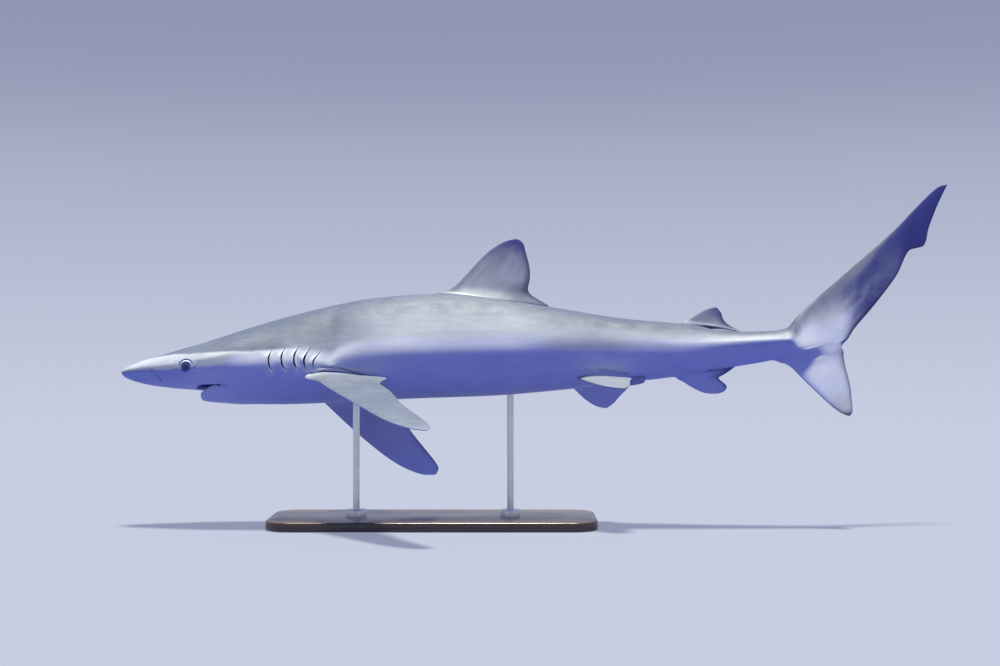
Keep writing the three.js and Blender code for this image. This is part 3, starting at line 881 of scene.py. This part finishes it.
def draw_out(where, masks=None):
    """Extrudes the chosen faces. where gives each corner's new place, from its ring, column and
    old place, and masks its new tone, dusk, painted shade or painted highlight."""
    bpy.ops.mesh.extrude_region()
    net, layers = open_net()
    for corner in [corner for corner in net.verts if corner.select]:
        number, column = corner[layers["ring"]], corner[layers["column"]]
        corner.co = where(number, column, corner.co.copy())
        for name, value in (masks(number, column, corner.co) if masks else {}).items():
            corner[layers[name]] = value
    bmesh.update_edit_mesh(skin.data)


def chosen_corners():
    """The places of the chosen corners, by ring and column."""
    net, layers = open_net()
    return {
        (corner[layers["ring"]], corner[layers["column"]]): corner.co.copy()
        for corner in net.verts if corner.select
    }


# ---- Skin: the fins are drawn out of the body -----------------------------------------------
# Each grows from a patch of the net, two faces wide, rib by rib to its tip, so that its root
# blends into the body. Its free rear tip hangs over the body behind the root.


PLATE_TAPER = 0.3  # how much thinner a squared section gets to the rear


def grow_fin(name, ribs, chords, middle, places, place, masks, side=0, plate=0):
    """Draws a fin out of the patch round its middle column. A plate of 1 squares the section near
    the root, so that it lies flush with what it grows from."""
    first = marks[name]
    choose(first, first + len(chords) - 1, max(middle - 1, 0), min(middle + 1, COLUMNS), side)
    for rib in places:
        squared = plate * (1 - ease(rib, 2, 7))

        def where(number, column, _):
            chord = chords[number - first]
            if abs(column) == middle:
                a, b, _ = rib_point(ribs, rib, chord)
                return place(a, b, 0)
            a, b, half = rib_point(ribs, rib, inner(chord), squared, squared)
            half *= 1 - PLATE_TAPER * inner(chord) * squared
            beyond = column if middle in (0, COLUMNS) else abs(column) - middle
            return place(a, b, -half if beyond > 0 else half)

        draw_out(where, lambda number, column, _: masks(rib, chords[number - first], column))


def dorsal_masks(rib, chord, _):
    # The pale band along the root is a painted highlight, where the root's fillet faces the light
    # overhead.
    tone = between({1.5: 0.36, 2: 0.33, 2.5: 0.38, 3: 0.58, 4: 0.69, 5: 0.77, 7: 0.92}, rib)
    tone -= 0.14 * ease(chord, 0.4, 0.6) * (1 - ease(chord, 0.75, 0.95)) * ease(rib, 2.6, 3.2)
    behind = 0.34 * ease(chord, 0.4, 0.8) * (1 - ease(rib, 2.8, 3.6))
    in_front = (0.86 - tone) * (1 - ease(chord, 0.03, 0.16)) * ease(rib, 1.2, 1.8)
    return {
        "fin": ease(rib, 1.2, 1.7), "blade": 1, "dusk": ease(rib, 4.6, 7),
        "tone": tone + behind * (chord > 0.4) + in_front,
        "margin": ease(chord, 0.88, 0.97) * ease(rib, 1.6, 2.1),
    }


def hind_masks(rib, chord, _):
    # A painted highlight lightens the free rear tip near the root.
    tip_highlight = ease(chord, 0.6, 0.85) * (1 - ease(rib, 1.6, 2.2))
    return {
        "fin": ease(rib, 1.2, 1.8), "blade": 1,
        "tone": (1 - tip_highlight) * between({1.5: 0.52, 2.2: 0.58, 2.7: 0.72, 4: 0.72, 6: 0.80}, rib),
        "dusk": (0.15 + 0.75 * ease(rib + 2.2 * chord, 3.8, 7)) * (1 - tip_highlight),
        "margin": ease(chord, 0.72, 0.95) * ease(rib, 1.8, 2.5),
    }


def anal_masks(rib, chord, _):
    # Painted shade: the rear of the fin near its root is darker and its free tip dusky, so that they
    # read as lying in shade.
    behind = ease(chord, 0.5, 0.8) * (1 - ease(rib, 2.8, 4.6))
    free_tip_shade = 0.4 * ease(chord, 0.6, 0.86) * (1 - ease(rib, 2.2, 3.6))
    return {
        "fin": 1 if chord > 0.8 else ease(rib, 1.2, 1.8), "blade": 1, "tone": 0.12 + 0.5 * behind,
        "dusk": max(0.1 * ease(rib + 1.5 * chord, 3.5, 7.5), free_tip_shade),
        "margin": ease(chord, 0.86, 1) * ease(rib, 2, 3),
    }


def lower_lobe_masks(rib, chord, _):
    rear, tip = ease(chord, 0.82, 0.94), ease(rib, 5.0, 6.2)
    return {"fin": ease(rib, 1.2, 1.8), "blade": 1, "tone": 0.13 + 0.24 * ease(rib, 3, 5.5),
            "margin": max(rear, tip)}


def leaning(start, end, drop, lean):
    """Places a midline fin whose free rear tip droops and leans to the left."""
    def place(a, b, h):
        share = ease(a, start, end)
        return on_midline(a, b - drop * share, h) - Vector((0, lean * share, 0))

    return place


grow_fin("first_dorsal", FIRST_DORSAL, FIRST_DORSAL_CHORDS, 0,
         (1.3, 1.65, 2, 2.5, 3, 3.7, 4.5, 5.3, 6.1, 6.8, 7.4, 7.8),
         leaning(890, 1022, 3, 9), dorsal_masks)
grow_fin("second_dorsal", SECOND_DORSAL, HIND_CHORDS, 0,
         (1.4, 1.75, 2.1, 2.7, 3.4, 4.1, 4.8, 5.4, 5.8), leaning(1405, 1486, 6, 10), hind_masks)
grow_fin("anal", ANAL, HIND_CHORDS, COLUMNS,
         (1.4, 1.75, 2.1, 2.7, 3.4, 4.1, 4.9, 5.7, 6.4, 6.8), on_midline, anal_masks)
net, layers = open_net()
rear = marks["anal"] + len(HIND_CHORDS) - 1
for corner in net.verts:  # the free tip's upper side is painted in shade, as dark as its hem
    if corner[layers["ring"]] == rear and abs(corner[layers["column"]]) >= COLUMNS - 1:
        corner[layers["fin"]], corner[layers["tone"]], corner[layers["dusk"]] = 1, 0.6, 0.4
bmesh.update_edit_mesh(skin.data)
grow_fin("lower_lobe", CAUDAL_LOWER, LOWER_LOBE_CHORDS, COLUMNS,
         (1.35, 1.75, 2.3, 2.9, 3.5, 4.1, 4.7, 5.3, 5.9, 6.4, 6.8), on_midline, lower_lobe_masks,
         plate=1)


def pectoral_masks(rib, chord, column):
    top, edge = abs(column) < PECTORAL_COLUMN, abs(column) == PECTORAL_COLUMN
    # The upper side at the front of the root is lighter, a painted highlight.
    root_highlight = (1 - ease(rib, 1.6, 2.6)) * (1 - ease(chord, 0.3, 0.6))
    over = 0.90 + 0.05 * ease(rib, 2, 4.5) - 0.12 * ease(rib, 6, 8) - 0.3 * root_highlight
    under = 0.55 if edge and chord >= 0.5 else 0.2
    return {
        "fin": ease(rib, 1.1, 1.7), "tone": over if top else under,
        "margin": 0 if top else ease(chord, 0.86, 0.96) * ease(rib, 4.5, 6),
    }


def pelvic_masks(rib, chord, column):
    top, edge = abs(column) < PELVIC_COLUMN, abs(column) == PELVIC_COLUMN
    return {
        "fin": ease(rib, 1.1, 1.7), "tone": 0.81 if top else 0.5 if edge else 0.2,
        "margin": 1 if edge and chord > 0.95 and rib > 2 else 0,
    }


PECTORAL_CHORDS = (0, 0.03, 0.09, 0.18, 0.28, 0.38, 0.50, 0.64, 0.78, 0.9, 1)
for side, droop, pitch in ((1, 29, 2.5), (-1, 40.5, -18)):
    def set_on(a, b, h, place=on_side(-side, PECTORAL_ROOT, droop, pitch), near=(side == 1)):
        """Each fin is held a little differently: the left one's front is fuller at its root."""
        ahead = a - 0.6 * b
        root = near * (1 - ease(ahead, 5, 45)) * (1 - ease(b, 15, 60))
        drawn_in = near * 11 * (1 - ease(ahead, 0, 100)) * ease(b, 15, 70) * (1 - ease(b, 220, 340))
        behind = near * ease(ahead, 80, 130) * ease(b, 5, 50) * (1 - ease(b, 110, 200))
        raised = near * 5 * ease(a, 125, 190) * (1 - ease(b, 15, 70))
        longer = (not near) * 5 * ease(b, 300, 372)
        shorter = (not near) * 0.4 * ease(b, 340, 372)
        back, out, up = drawn_in + 5 * behind + longer, 6 * root - shorter, raised - 6 * root
        return place(a + back, b + out, h + up)

    grow_fin("pectoral", PECTORAL, PECTORAL_CHORDS, PECTORAL_COLUMN,
             (1.25, 1.6, 2, 2.5, 3.1, 3.8, 4.5, 5.2, 5.9, 6.5, 7.1, 7.6, 7.87),
             set_on, pectoral_masks, side)

for side, droop, swept in ((1, 27, 0.20), (-1, 25, -0.05)):
    def sweep_back(a, b, h, place=on_side(-side, PELVIC_ROOT, droop, 0), swept=swept, side=side):
        """The left fin starts further back, and each is swept back by its own share."""
        set_back = 12 * (side == 1) * (1 - ease(a, 0, 75)) * ease(b, -4, 8) * (1 - ease(b, 30, 70))
        return place(a + set_back + swept * b * ease(b, 10, 60), b, h)

    grow_fin("pelvic", PELVIC, PELVIC_CHORDS, PELVIC_COLUMN,
             (1.3, 1.7, 2.1, 2.7, 3.4, 4.1, 4.8, 5.4, 5.8), sweep_back, pelvic_masks, side)

# ---- Skin: claspers -------------------------------------------------------------------------
# A male has two claspers, short blunt rods of rolled skin behind the pelvic fins. They grow back
# from the belly.

CLASPER_START, CLASPER_END, CLASPER_RADIUS = Vector((1184, 22, -85)), Vector((1251, 17, -76)), 6.5
CLASPER_SIZES = ((0.05, 1.1), (0.25, 0.95), (0.5, 1.0), (0.75, 1.0), (0.92, 0.8), (0.99, 0.45))

for side in (1, -1):
    first = marks["clasper"]
    choose(first, first + 1, 15, 16, side)
    for share, size in CLASPER_SIZES:
        def where(number, column, _):
            middle = CLASPER_START.lerp(CLASPER_END, share)
            across = 1 if abs(column) == 15 else -1
            up = 1 if number == first else -1
            reach = CLASPER_RADIUS * size / sqrt(2)
            y = swing(middle.x) - side * (middle.y + across * reach)
            return Vector((middle.x, y, middle.z - up * reach))

        draw_out(where, lambda *_: {"fin": 1, "tone": 0.25, "dusk": 0.25})

# ---- Skin: mouth ----------------------------------------------------------------------------
# The mouth is an arch under the head, a little open. Its lips are the two rings that bend there;
# the skin between them is drawn back into the head as the mouth's inside, painted dark blue as shade.

UPPER_LIP = {174: -96.5, 186: -92.5, 202: -88.5, 216: -88.5, 228: -92, JAW_CORNER: -95.5}
LOWER_LIP = {
    190: -107.5, 200: -107, 212: -101.5, 224: -96.5, JAW_CORNER: -97.2, JAW_CORNER + 3: -97.2,
}
upper, lower = marks["lips"], marks["lips"] + 1
net, layers = open_net()
for corner in net.verts:
    number = corner[layers["ring"]]
    if number in (upper, lower) and abs(corner[layers["column"]]) >= MOUTH_COLUMN:
        corner.co.z = between(UPPER_LIP if number == upper else LOWER_LIP, corner.co.x)
bmesh.update_edit_mesh(skin.data)
choose(upper, lower, MOUTH_COLUMN, COLUMNS)
lips_at = chosen_corners()
# Deeper in, the mouth's inside is painted dark blue, as shade.
for back, upper_rise, lower_rise, narrow, lining, dusk in (
    (3, 2, 0.5, 0.97, 0.3, 0.5), (9, 4, -1, 0.92, 0.8, 0.85),
    (28, 5, -3, 0.8, 1, 1), (52, 2, -1, 0.6, 1, 1),
):
    def where(number, column, _):
        lip = lips_at[(number, column)]
        rise = upper_rise if number == upper else lower_rise
        return Vector((lip.x + back, lip.y * narrow, lip.z + rise))

    draw_out(where, lambda *_: {"lining": lining, "dusk": dusk})

# ---- Skin: gill slits -----------------------------------------------------------------------
# Five slits open behind flaps on each side, their insides painted in shade. Their lips stand a
# little proud, most of all the edge of the flap in front, and carry a painted highlight.

FLAP_RISE, LIP_RISE = 1.6, 0.8
for side in (1, -1):
    for slit_number, (*_, foot) in enumerate(GILL_SLITS):
        first = marks["gills"] + 3 * slit_number
        net, layers = open_net()
        for corner in net.verts:
            number, column = corner[layers["ring"]], corner[layers["column"]]
            if number in (first, first + 1) and SLIT_TOP < column * side <= foot:
                corner.co.y -= side * (FLAP_RISE if number == first else LIP_RISE)
                corner[layers["pale"]] = 1
        bmesh.update_edit_mesh(skin.data)
        choose(first, first + 1, SLIT_TOP, foot, side)
        for depth, forward in ((3, 1.5), (9, 6)):
            draw_out(
                lambda number, column, old: old + Vector((-forward, side * depth, 0)),
                lambda *_: {"lining": 1, "pale": 0},
            )

# ---- Skin: eye sockets ----------------------------------------------------------------------
# The eye looks out of a round opening. Its lid is a thin rim with a painted highlight along its top,
# with a deep crease over it painted in shade, and turns in over the edge of a deep socket whose
# inside is painted in shade.

# Radius of each ring, how far it stands out and how much painted shade lies above and below there.
LID_RINGS = (
    (18.0, -0.4, 0.25, 0), (16.3, -2.2, 1, 0), (14.5, 0.6, 0.2, 0.15), (12.8, 1.2, 0.02, 0.3),
    (11.5, 0.6, 0.1, 0.5), (10.9, -2.2, 0.9, 0.95), (15.0, -8.0, 1, 1), (9.0, -15.0, 1, 1),
)
LID_PATCH = 21  # from its middle to its corners
LID_TALL = 1.06  # the opening's height over its length
LID_ON_BODY = (10.9, 13.6)  # between these radii the lid goes over from a flat ring to the body


def eye_frame(side):
    """The middle of an eye's opening and the directions back, up and out there."""
    def flank(x, z):
        return body_point(x, side * angle_at(x, z))

    back = (flank(EYE_X + 12, EYE_LEVEL) - flank(EYE_X - 12, EYE_LEVEL)).normalized()
    up = (flank(EYE_X, EYE_LEVEL + 12) - flank(EYE_X, EYE_LEVEL - 12)).normalized()
    out = back.cross(up).normalized() * side
    return flank(EYE_X, EYE_LEVEL), back, out.cross(back) * side, out


def over_eye(across, rise):
    """1 above the eye, where its fold is deep, and 0 below it; the fold runs down in front."""
    return ease(0.9 * rise - 0.25 * across, -0.1, 0.5)


for side in (1, -1):
    first = marks["eye"]
    middle, back, up, out = eye_frame(side)

    def spoke(number, column):
        """The direction of a corner of the patch from its middle, along back and up."""
        across, rise = number - first - 1, EYE_COLUMN - abs(column)
        length = sqrt(across**2 + rise**2)
        return (across / length, rise / length) if length else (0, 0)

    net, layers = open_net()
    for corner in net.verts:
        number, column = corner[layers["ring"]], corner[layers["column"]]
        if first <= number <= first + 2 and 7 <= column * side <= 9:
            across, rise = spoke(number, column)
            x, z = EYE_X + LID_PATCH * across, EYE_LEVEL + LID_PATCH * rise
            corner.co = body_point(x, side * angle_at(x, z))
    bmesh.update_edit_mesh(skin.data)
    choose(first, first + 2, 7, 9, side)
    for radius, rise_out, shade_above, shade_below in LID_RINGS:
        def where(number, column, _):
            across, rise = spoke(number, column)
            over = over_eye(across, rise)
            if rise_out > 0:
                folded = rise_out * (0.3 + 0.7 * over)
            else:
                folded = rise_out if rise_out < -2.5 else rise_out * over
            taller = LID_TALL * rise
            x, z = EYE_X + radius * across, EYE_LEVEL + radius * taller
            surface = body_point(x, side * angle_at(x, z))
            flat = middle + back * radius * across + up * radius * taller
            return flat.lerp(surface, ease(radius, *LID_ON_BODY)) + out * folded

        # The crease and socket are painted in shade, and the top of the rim carries a painted
        # highlight.
        def lid_masks(number, column, _):
            over = over_eye(*spoke(number, column))
            rim = radius > 11 and shade_above < 0.2
            return {
                "lining": shade_below + (shade_above - shade_below) * over, "pale": over if rim else 0
            }

        draw_out(where, lid_masks)

# ---- Skin: nostrils -------------------------------------------------------------------------
# Under the snout a short slanting nostril opens on each side, behind a small flap; its inside is
# painted in shade.

NOSTRIL_X, NOSTRIL_LEVEL = 98.5, -78
for side in (1, -1):
    first = marks["nostril"]
    choose(first, first + 1, 12, 13, side)
    spread = chosen_corners()
    hollow = body_point(NOSTRIL_X, side * angle_at(NOSTRIL_X, NOSTRIL_LEVEL))
    inwards = (Vector((hollow.x + 10, 0, widest_level(hollow.x))) - hollow).normalized()
    for size, depth, lining in ((0.56, 0.2, 0), (0.40, 0.8, 0.8), (0.34, 6.0, 1)):
        def where(number, column, _):
            offset = spread[(number, column)] - hollow
            slant = offset.x - 1.1 * offset.z
            across, up = offset.x * 0.45 + slant * 0.4, offset.z * 0.6 - slant * 0.35
            slit = Vector((across, offset.y * 0.7, up))
            return hollow + slit * size + inwards * depth

        draw_out(where, lambda *_: {"lining": lining})

bpy.ops.mesh.select_all(action="SELECT")
bpy.ops.mesh.remove_doubles(threshold=0.01)
bpy.ops.object.mode_set(mode="OBJECT")

# The net is drawn tight, so that its smoothed surface passes through the places given.
TIGHTENING, SMOOTHING = 5, 2  # how often
targets = np.array([corner.co for corner in skin.data.vertices])
smoother = skin.modifiers.new("smooth", "SUBSURF")
smoother.levels = smoother.render_levels = 1
for _ in range(TIGHTENING):
    scene_graph = bpy.context.evaluated_depsgraph_get()
    smoothed = skin.evaluated_get(scene_graph)
    reached = np.array([corner.co for corner in smoothed.data.vertices[: len(targets)]])
    places = np.array([corner.co for corner in skin.data.vertices]) + (targets - reached)
    skin.data.vertices.foreach_set("co", places.astype(np.float32).ravel())
    skin.data.update()
    bpy.context.view_layer.update()
smoother.levels = smoother.render_levels = SMOOTHING
choose_only(skin)
bpy.ops.object.modifier_apply(modifier=smoother.name)

# ---- Skin: the colouring of the body --------------------------------------------------------
# A blue shark is dark above, silver along the flank and white below. From the brow to the gills
# the dark cap has a sharp lower edge; behind them it fades down the flank, faster on the tail.

# Heights are shares: 1 on the back line, 0 at the widest level and -1 on the belly line.
# Tables: distance back: value, or height: tone (0 is white and 1 nearly black).
CAP_EDGE = {30: 1.02, 77: 0.81, 134: 0.62, 171: 0.42, 196: 0.36, 228: 0.25, 270: 0.135, 300: 0.105,
            365: 0.135, 411: 0.155, 460: 0.15, 507: 0.10}
CAP_BLUR = {60: 0.14, 150: 0.07, 190: 0.04, 400: 0.035, 460: 0.08}
CAP_TONES = {0.1: 0.88, 0.3: 0.90, 0.5: 0.95, 0.9: 1.0}
SHOULDER_TONES = {0.05: 0.55, 0.12: 0.62, 0.2: 0.69, 0.29: 0.77, 0.37: 0.83, 0.45: 0.88, 0.6: 0.93,
                  0.9: 1.0}
BAND_TONES = {0: 0.57, 150: 0.57, 200: 0.57, 236: 0.42, 300: 0.36, 420: 0.26}  # under the cap
LOW_BAND_TONES = {0: 0.34, 200: 0.27, 236: 0.33, 262: 0.33, 290: 0.12, 315: 0}
FLANK_TONES = {-0.3: 0.16, -0.22: 0.03, -0.12: 0.08, 0: 0.27, 0.1: 0.38, 0.2: 0.42, 0.29: 0.49,
               0.37: 0.55, 0.46: 0.65, 0.55: 0.76, 0.65: 0.84, 0.8: 0.9, 0.97: 0.96}
TAIL_TONES = {-0.33: 0.12, -0.2: 0.3, -0.1: 0.27, 0: 0.22, 0.08: 0.33, 0.18: 0.46, 0.26: 0.56,
              0.36: 0.72, 0.47: 0.86, 0.56: 0.94, 0.7: 0.98, 0.9: 1.0}
# Painted light and shade on the flank, lighter or darker stretches by the shade line: middle, length,
# height, reach up and down, tone.
FLANK_LIGHT_AND_SHADE = (
    (1125, 80, -0.05, 0.3, 0.2), (583, 40, -0.05, 0.14, 0.1), (670, 60, -0.02, 0.16, -0.12),
    (1450, 110, -0.02, 0.12, -0.3),
)
UNDERSIDE = (0.22, 0.42)
UNDERSIDE_TONES = {0: 0.2, 140: 0.2, 190: 0.0, 240: 0.02, 300: 0.1, 420: 0.16, 580: 0.22, 700: 0.18}
LIP_HIGHLIGHT = 0.35  # how much a painted highlight lightens the lips of the gill slits and the eyes' upper rims

# Fine folds, as (x, z) points, half width, depth and darkness: behind the eye, on from the mouth's
# corner, before the nostril, a pit before the gills, over the roots of the paired fins and under
# the free tips of those on the midline. Each is pressed in and painted darker, as painted shade.
FOLDS = (
    (((184, -45), (200, -44)), 2.2, 0.5, 0.25),
    (((240, -96), (252, -99), (262, -100)), 2.0, 0.8, 0.55),
    (((82, -59), (91, -70), (97, -75)), 1.6, 0.6, 0.32),
    (((319, -27), (326, -23)), 2.0, 0.5, 0.35),
    (((488, -62), (530, -62.5), (558, -70.5), (585, -78)), 2.0, 1.6, 0.66),
    (((1138, -60), (1169, -64), (1204, -69)), 3.0, 1.2, 0.35),
    (((935, 112), (975, 109.5), (1008, 105)), 1.6, 0.8, 0.65),
    (((1420, 38.5), (1440, 37), (1468, 34.5)), 1.0, 0.3, 0.3),
)


def eased(values, start, end):
    """ease for a whole array."""
    s = np.clip((values - start) / (end - start), 0, 1)
    return s * s * (3 - 2 * s)


def read_off(table, values):
    """Straight lines through a table, for a whole array."""
    return np.interp(values, list(table), list(table.values()))


def layer_values(name):
    """One of the skin's masks, for every corner."""
    values = np.empty(len(skin.data.vertices), dtype=np.float32)
    skin.data.attributes[name].data.foreach_get("value", values)
    return values


corners, outwards = (np.empty(len(skin.data.vertices) * 3, dtype=np.float32) for _ in range(2))
skin.data.vertices.foreach_get("co", corners)
skin.data.vertices.foreach_get("normal", outwards)
x, y, z = corners.reshape(-1, 3).T
stations = np.arange(0, STALK_END + 1, 4)
back, belly, widest = (
    np.interp(x, stations, [line(station) for station in stations])
    for line in (back_line, belly_line, widest_level)
)
height = np.where(z > widest, (z - widest) / (back - widest + 1), (z - widest) / (widest - belly + 1))
height = np.clip(height, -1, 1)
edge, blur = read_off(CAP_EDGE, x), read_off(CAP_BLUR, x)
cap_tone = read_off(CAP_TONES, height)
cap_tone += (read_off(SHOULDER_TONES, height) - cap_tone) * eased(x, 360, 430)
low = eased(-height, read_off({236: 0.02, 300: -0.1}, x), read_off({236: 0.2, 300: 0.05}, x))
head_tone = read_off(BAND_TONES, x) + (read_off(LOW_BAND_TONES, x) - read_off(BAND_TONES, x)) * low
head_tone += (cap_tone - head_tone) * eased(height - edge, -blur, blur)
flank_tone = read_off(FLANK_TONES, height)
flank_tone += (read_off(TAIL_TONES, height) - flank_tone) * eased(x, 930, 1050)
# Painted light and shade along the flank.
for middle, length, level, reach, change in FLANK_LIGHT_AND_SHADE:
    flank_tone += change * np.exp(-(((x - middle) / length) ** 2) - ((height - level) / reach) ** 2)
body_tone = head_tone + (flank_tone - head_tone) * eased(x, 480, 695)
body_tone += (read_off(UNDERSIDE_TONES, x) - body_tone) * eased(-height, *UNDERSIDE)
# A painted highlight on the lips of the gill slits and over the eyes.
body_tone -= LIP_HIGHLIGHT * layer_values("pale") ** 2
body_tone = np.maximum(body_tone, 0)
fin = layer_values("fin")
tones = (body_tone * (1 - fin) + layer_values("tone") * fin).astype(np.float32)
skin.data.attributes["tone"].data.foreach_set("value", tones)

# The folds' darkness is painted shade.
fold_shade = np.zeros(len(x))
moved = corners.reshape(-1, 3)
for points, width, depth, darkness in FOLDS:
    nearest = np.full(len(x), np.inf)
    for (x1, z1), (x2, z2) in zip(points, points[1:]):
        length = (x2 - x1) ** 2 + (z2 - z1) ** 2
        share = np.clip(((x - x1) * (x2 - x1) + (z - z1) * (z2 - z1)) / length, 0, 1)
        beside = np.hypot(x - x1 - share * (x2 - x1), z - z1 - share * (z2 - z1))
        nearest = np.minimum(nearest, beside)
    pressed = np.exp(-((nearest / width) ** 2)) * (np.abs(y) > 8) * (1 - fin)
    moved -= outwards.reshape(-1, 3) * (depth * pressed)[:, None]
    fold_shade = np.maximum(fold_shade, darkness * pressed)
skin.data.vertices.foreach_set("co", moved.astype(np.float32).ravel())
fold_shade_layer = skin.data.attributes.new("fold_shade", "FLOAT", "POINT")
fold_shade_layer.data.foreach_set("value", fold_shade.astype(np.float32))
skin.matrix_world = STANCE
bpy.ops.object.transform_apply(location=True, rotation=True, scale=True)
bpy.ops.object.shade_smooth()

# ---- Skin: colour and finish ----------------------------------------------------------------
# The scales are too fine to see and make the hide satin. Faint mottling and streaks run along the
# body and slant along the midline fins, with scattered dark specks.

SKIN_TONES = (
    (0.0, (0.80, 0.83, 0.75, 1)), (0.20, (0.59, 0.63, 0.71, 1)), (0.36, (0.45, 0.49, 0.50, 1)),
    (0.56, (0.29, 0.32, 0.375, 1)), (0.76, (0.17, 0.19, 0.25, 1)), (0.90, (0.103, 0.12, 0.17, 1)),
    (1.0, (0.060, 0.075, 0.125, 1)),
)
# The dusk colour also paints shade inside the mouth and on the anal fin's free tip; the fold colour
# is painted shade along the folds, and the hollows' colour painted shade inside mouth, gills, eye
# sockets, nostrils and over the eyes.
DUSK_AND_SHADE_COLOUR, HEM_COLOUR = (0.024, 0.031, 0.170, 1), (0.030, 0.035, 0.110, 1)
FOLD_SHADE_COLOUR, HOLLOW_SHADE_COLOUR = (0.045, 0.045, 0.110, 1), (0.036, 0.050, 0.34, 1)
SPECK_COLOUR, SPECK_STRENGTH, SPECK_CHANCE = (0.060, 0.060, 0.080, 1), 0.55, 0.72
HEM_STRENGTH = 0.85
FIN_SLANT = radians(46)  # of the streaks on the midline fins

hide, hide_tree, hide_shader = new_material("shark_skin")
tone, dusk, margin, blade, lining, fold_shade_mask = (
    add_node(hide_tree, "ShaderNodeAttribute", attribute_name=name).outputs["Fac"]
    for name in ("tone", "dusk", "margin", "blade", "lining", "fold_shade")
)
level_place = add_place(hide_tree, turn=(BANK, 0, 0))
body_streak_place = add_place(hide_tree, scale=(1.0, 6.0, 6.0), place=level_place)
slanted_place = add_place(hide_tree, turn=(0, FIN_SLANT, 0), place=level_place)
fin_streak_place = add_place(hide_tree, scale=(1.0, 2.5, 2.5), place=slanted_place)


def add_value_mix(tree, share, one, two):
    """Mixes two numbers."""
    return add_node(tree, "ShaderNodeMix", {0: share, 2: one, 3: two}, data_type="FLOAT").outputs[0]


patches = add_mottle(hide_tree, level_place, 14.0, -0.03, 0.03)
body_streaks = add_mottle(hide_tree, body_streak_place, 20.0, -0.03, 0.03, 8.0)
fin_streaks = add_mottle(hide_tree, fin_streak_place, 14.0, -0.05, 0.05, 9.0)
streaks = add_value_mix(hide_tree, blade, body_streaks, fin_streaks)
uneven_tone = add_math(hide_tree, "ADD", tone, add_math(hide_tree, "ADD", patches, streaks))
# Dusk comes on in streaks: they are strongest where it is half way.
dusk_streaks = add_mottle(hide_tree, fin_streak_place, 13.0, -0.9, 0.9, 9.0)
half_way = add_math(hide_tree, "MULTIPLY", dusk, add_math(hide_tree, "SUBTRACT", 1.0, dusk))
streaky = add_math(hide_tree, "MULTIPLY", half_way, dusk_streaks)
darkening = add_math(hide_tree, "ADD", dusk, streaky, use_clamp=True)
darkened = add_mix(hide_tree, darkening, add_ramp(hide_tree, uneven_tone, SKIN_TONES), DUSK_AND_SHADE_COLOUR)
hem = add_math(hide_tree, "MULTIPLY", add_math(hide_tree, "MULTIPLY", margin, margin), HEM_STRENGTH)
hemmed = add_mix(hide_tree, hem, darkened, HEM_COLOUR)
fold_shaded = add_mix(hide_tree, fold_shade_mask, hemmed, FOLD_SHADE_COLOUR)
# Sparse dark specks, a few millimetres across.
specks = add_node(hide_tree, "ShaderNodeTexVoronoi", {"Vector": level_place, "Scale": 17.0}).outputs
speck = add_node(
    hide_tree, "ShaderNodeMapRange",
    {"Value": specks["Distance"], "From Min": 0.022, "From Max": 0.055, "To Min": 1.0, "To Max": 0.0},
).outputs["Result"]
chance = add_node(hide_tree, "ShaderNodeSeparateColor", {"Color": specks["Color"]}).outputs["Red"]
chosen = add_math(hide_tree, "GREATER_THAN", chance, SPECK_CHANCE)
kept = add_math(hide_tree, "MULTIPLY", speck, chosen)
kept = add_math(hide_tree, "MULTIPLY", kept, SPECK_STRENGTH)
speckled = add_mix(hide_tree, kept, fold_shaded, SPECK_COLOUR)
set_inputs(hide_shader, {
    # Painted shade in the hollows is laid over all.
    "Base Color": add_mix(hide_tree, lining, speckled, HOLLOW_SHADE_COLOUR),
    "Roughness": add_mottle(hide_tree, level_place, 30.0, 0.52, 0.66),
    "Specular IOR Level": add_value_mix(hide_tree, lining, 0.22, 0.02),
    "Normal": add_bump(hide_tree, add_noise(hide_tree, body_streak_place, 110.0, 4.0), 0.15, 0.0006),
})
skin.data.materials.append(hide)
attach(skin, "root")
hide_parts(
    *(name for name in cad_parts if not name.startswith(("stand_", "eye_")))
)

# ---- Eyes -----------------------------------------------------------------------------------
# Large round eyes of glass, as a model maker sets them. Pupil and iris are nearly black, and the
# rest of the ball is silver grey, so that a thin ring of it shows inside the lid.

EYE_RADII, EYE_SUNK = (15.5, 16.0, 9.5), 7.4
PUPIL, IRIS, IRIS_EDGE = (0.020, 0.024, 0.085, 1), (0.034, 0.042, 0.150, 1), (0.026, 0.032, 0.110, 1)
EYE_RINGS = (
    (0.0, PUPIL), (0.27, PUPIL), (0.32, IRIS), (0.50, IRIS), (0.82, IRIS_EDGE),
    (0.89, (0.36, 0.38, 0.46, 1)),
)

glass_eye, eye_tree, eye_shader = new_material("glass_eye")
rim = add_node(eye_tree, "ShaderNodeAttribute", attribute_name="rim").outputs["Fac"]
set_inputs(eye_shader, {
    "Base Color": add_ramp(eye_tree, rim, EYE_RINGS), "Roughness": 0.25, "Specular IOR Level": 0.2,
    "Coat Weight": 0.6, "Coat Roughness": 0.02,
})

for side, name in ((1, "left"), (-1, "right")):
    middle, back, up, out = eye_frame(side)
    eye = add_piece(
        f"glass_eye_{name}", bpy.ops.mesh.primitive_uv_sphere_add, segments=48, ring_count=32,
        radius=1,
    )
    rim_mask = eye.data.attributes.new("rim", "FLOAT", "POINT")
    rim_mask.data.foreach_set("value", [sqrt(p.co.x**2 + p.co.y**2) for p in eye.data.vertices])
    open_mesh()
    bpy.ops.transform.resize(value=EYE_RADII)
    bpy.ops.object.mode_set(mode="OBJECT")
    axes = Matrix((back, up, out * side)).transposed().to_4x4()
    eye.matrix_world = STANCE @ Matrix.Translation(middle - out * EYE_SUNK) @ axes
    bpy.ops.object.transform_apply(location=True, rotation=True, scale=True)
    bpy.ops.object.shade_smooth()
    eye.data.materials.append(glass_eye)
    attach(eye, "root")
    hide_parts(f"eye_{name}")
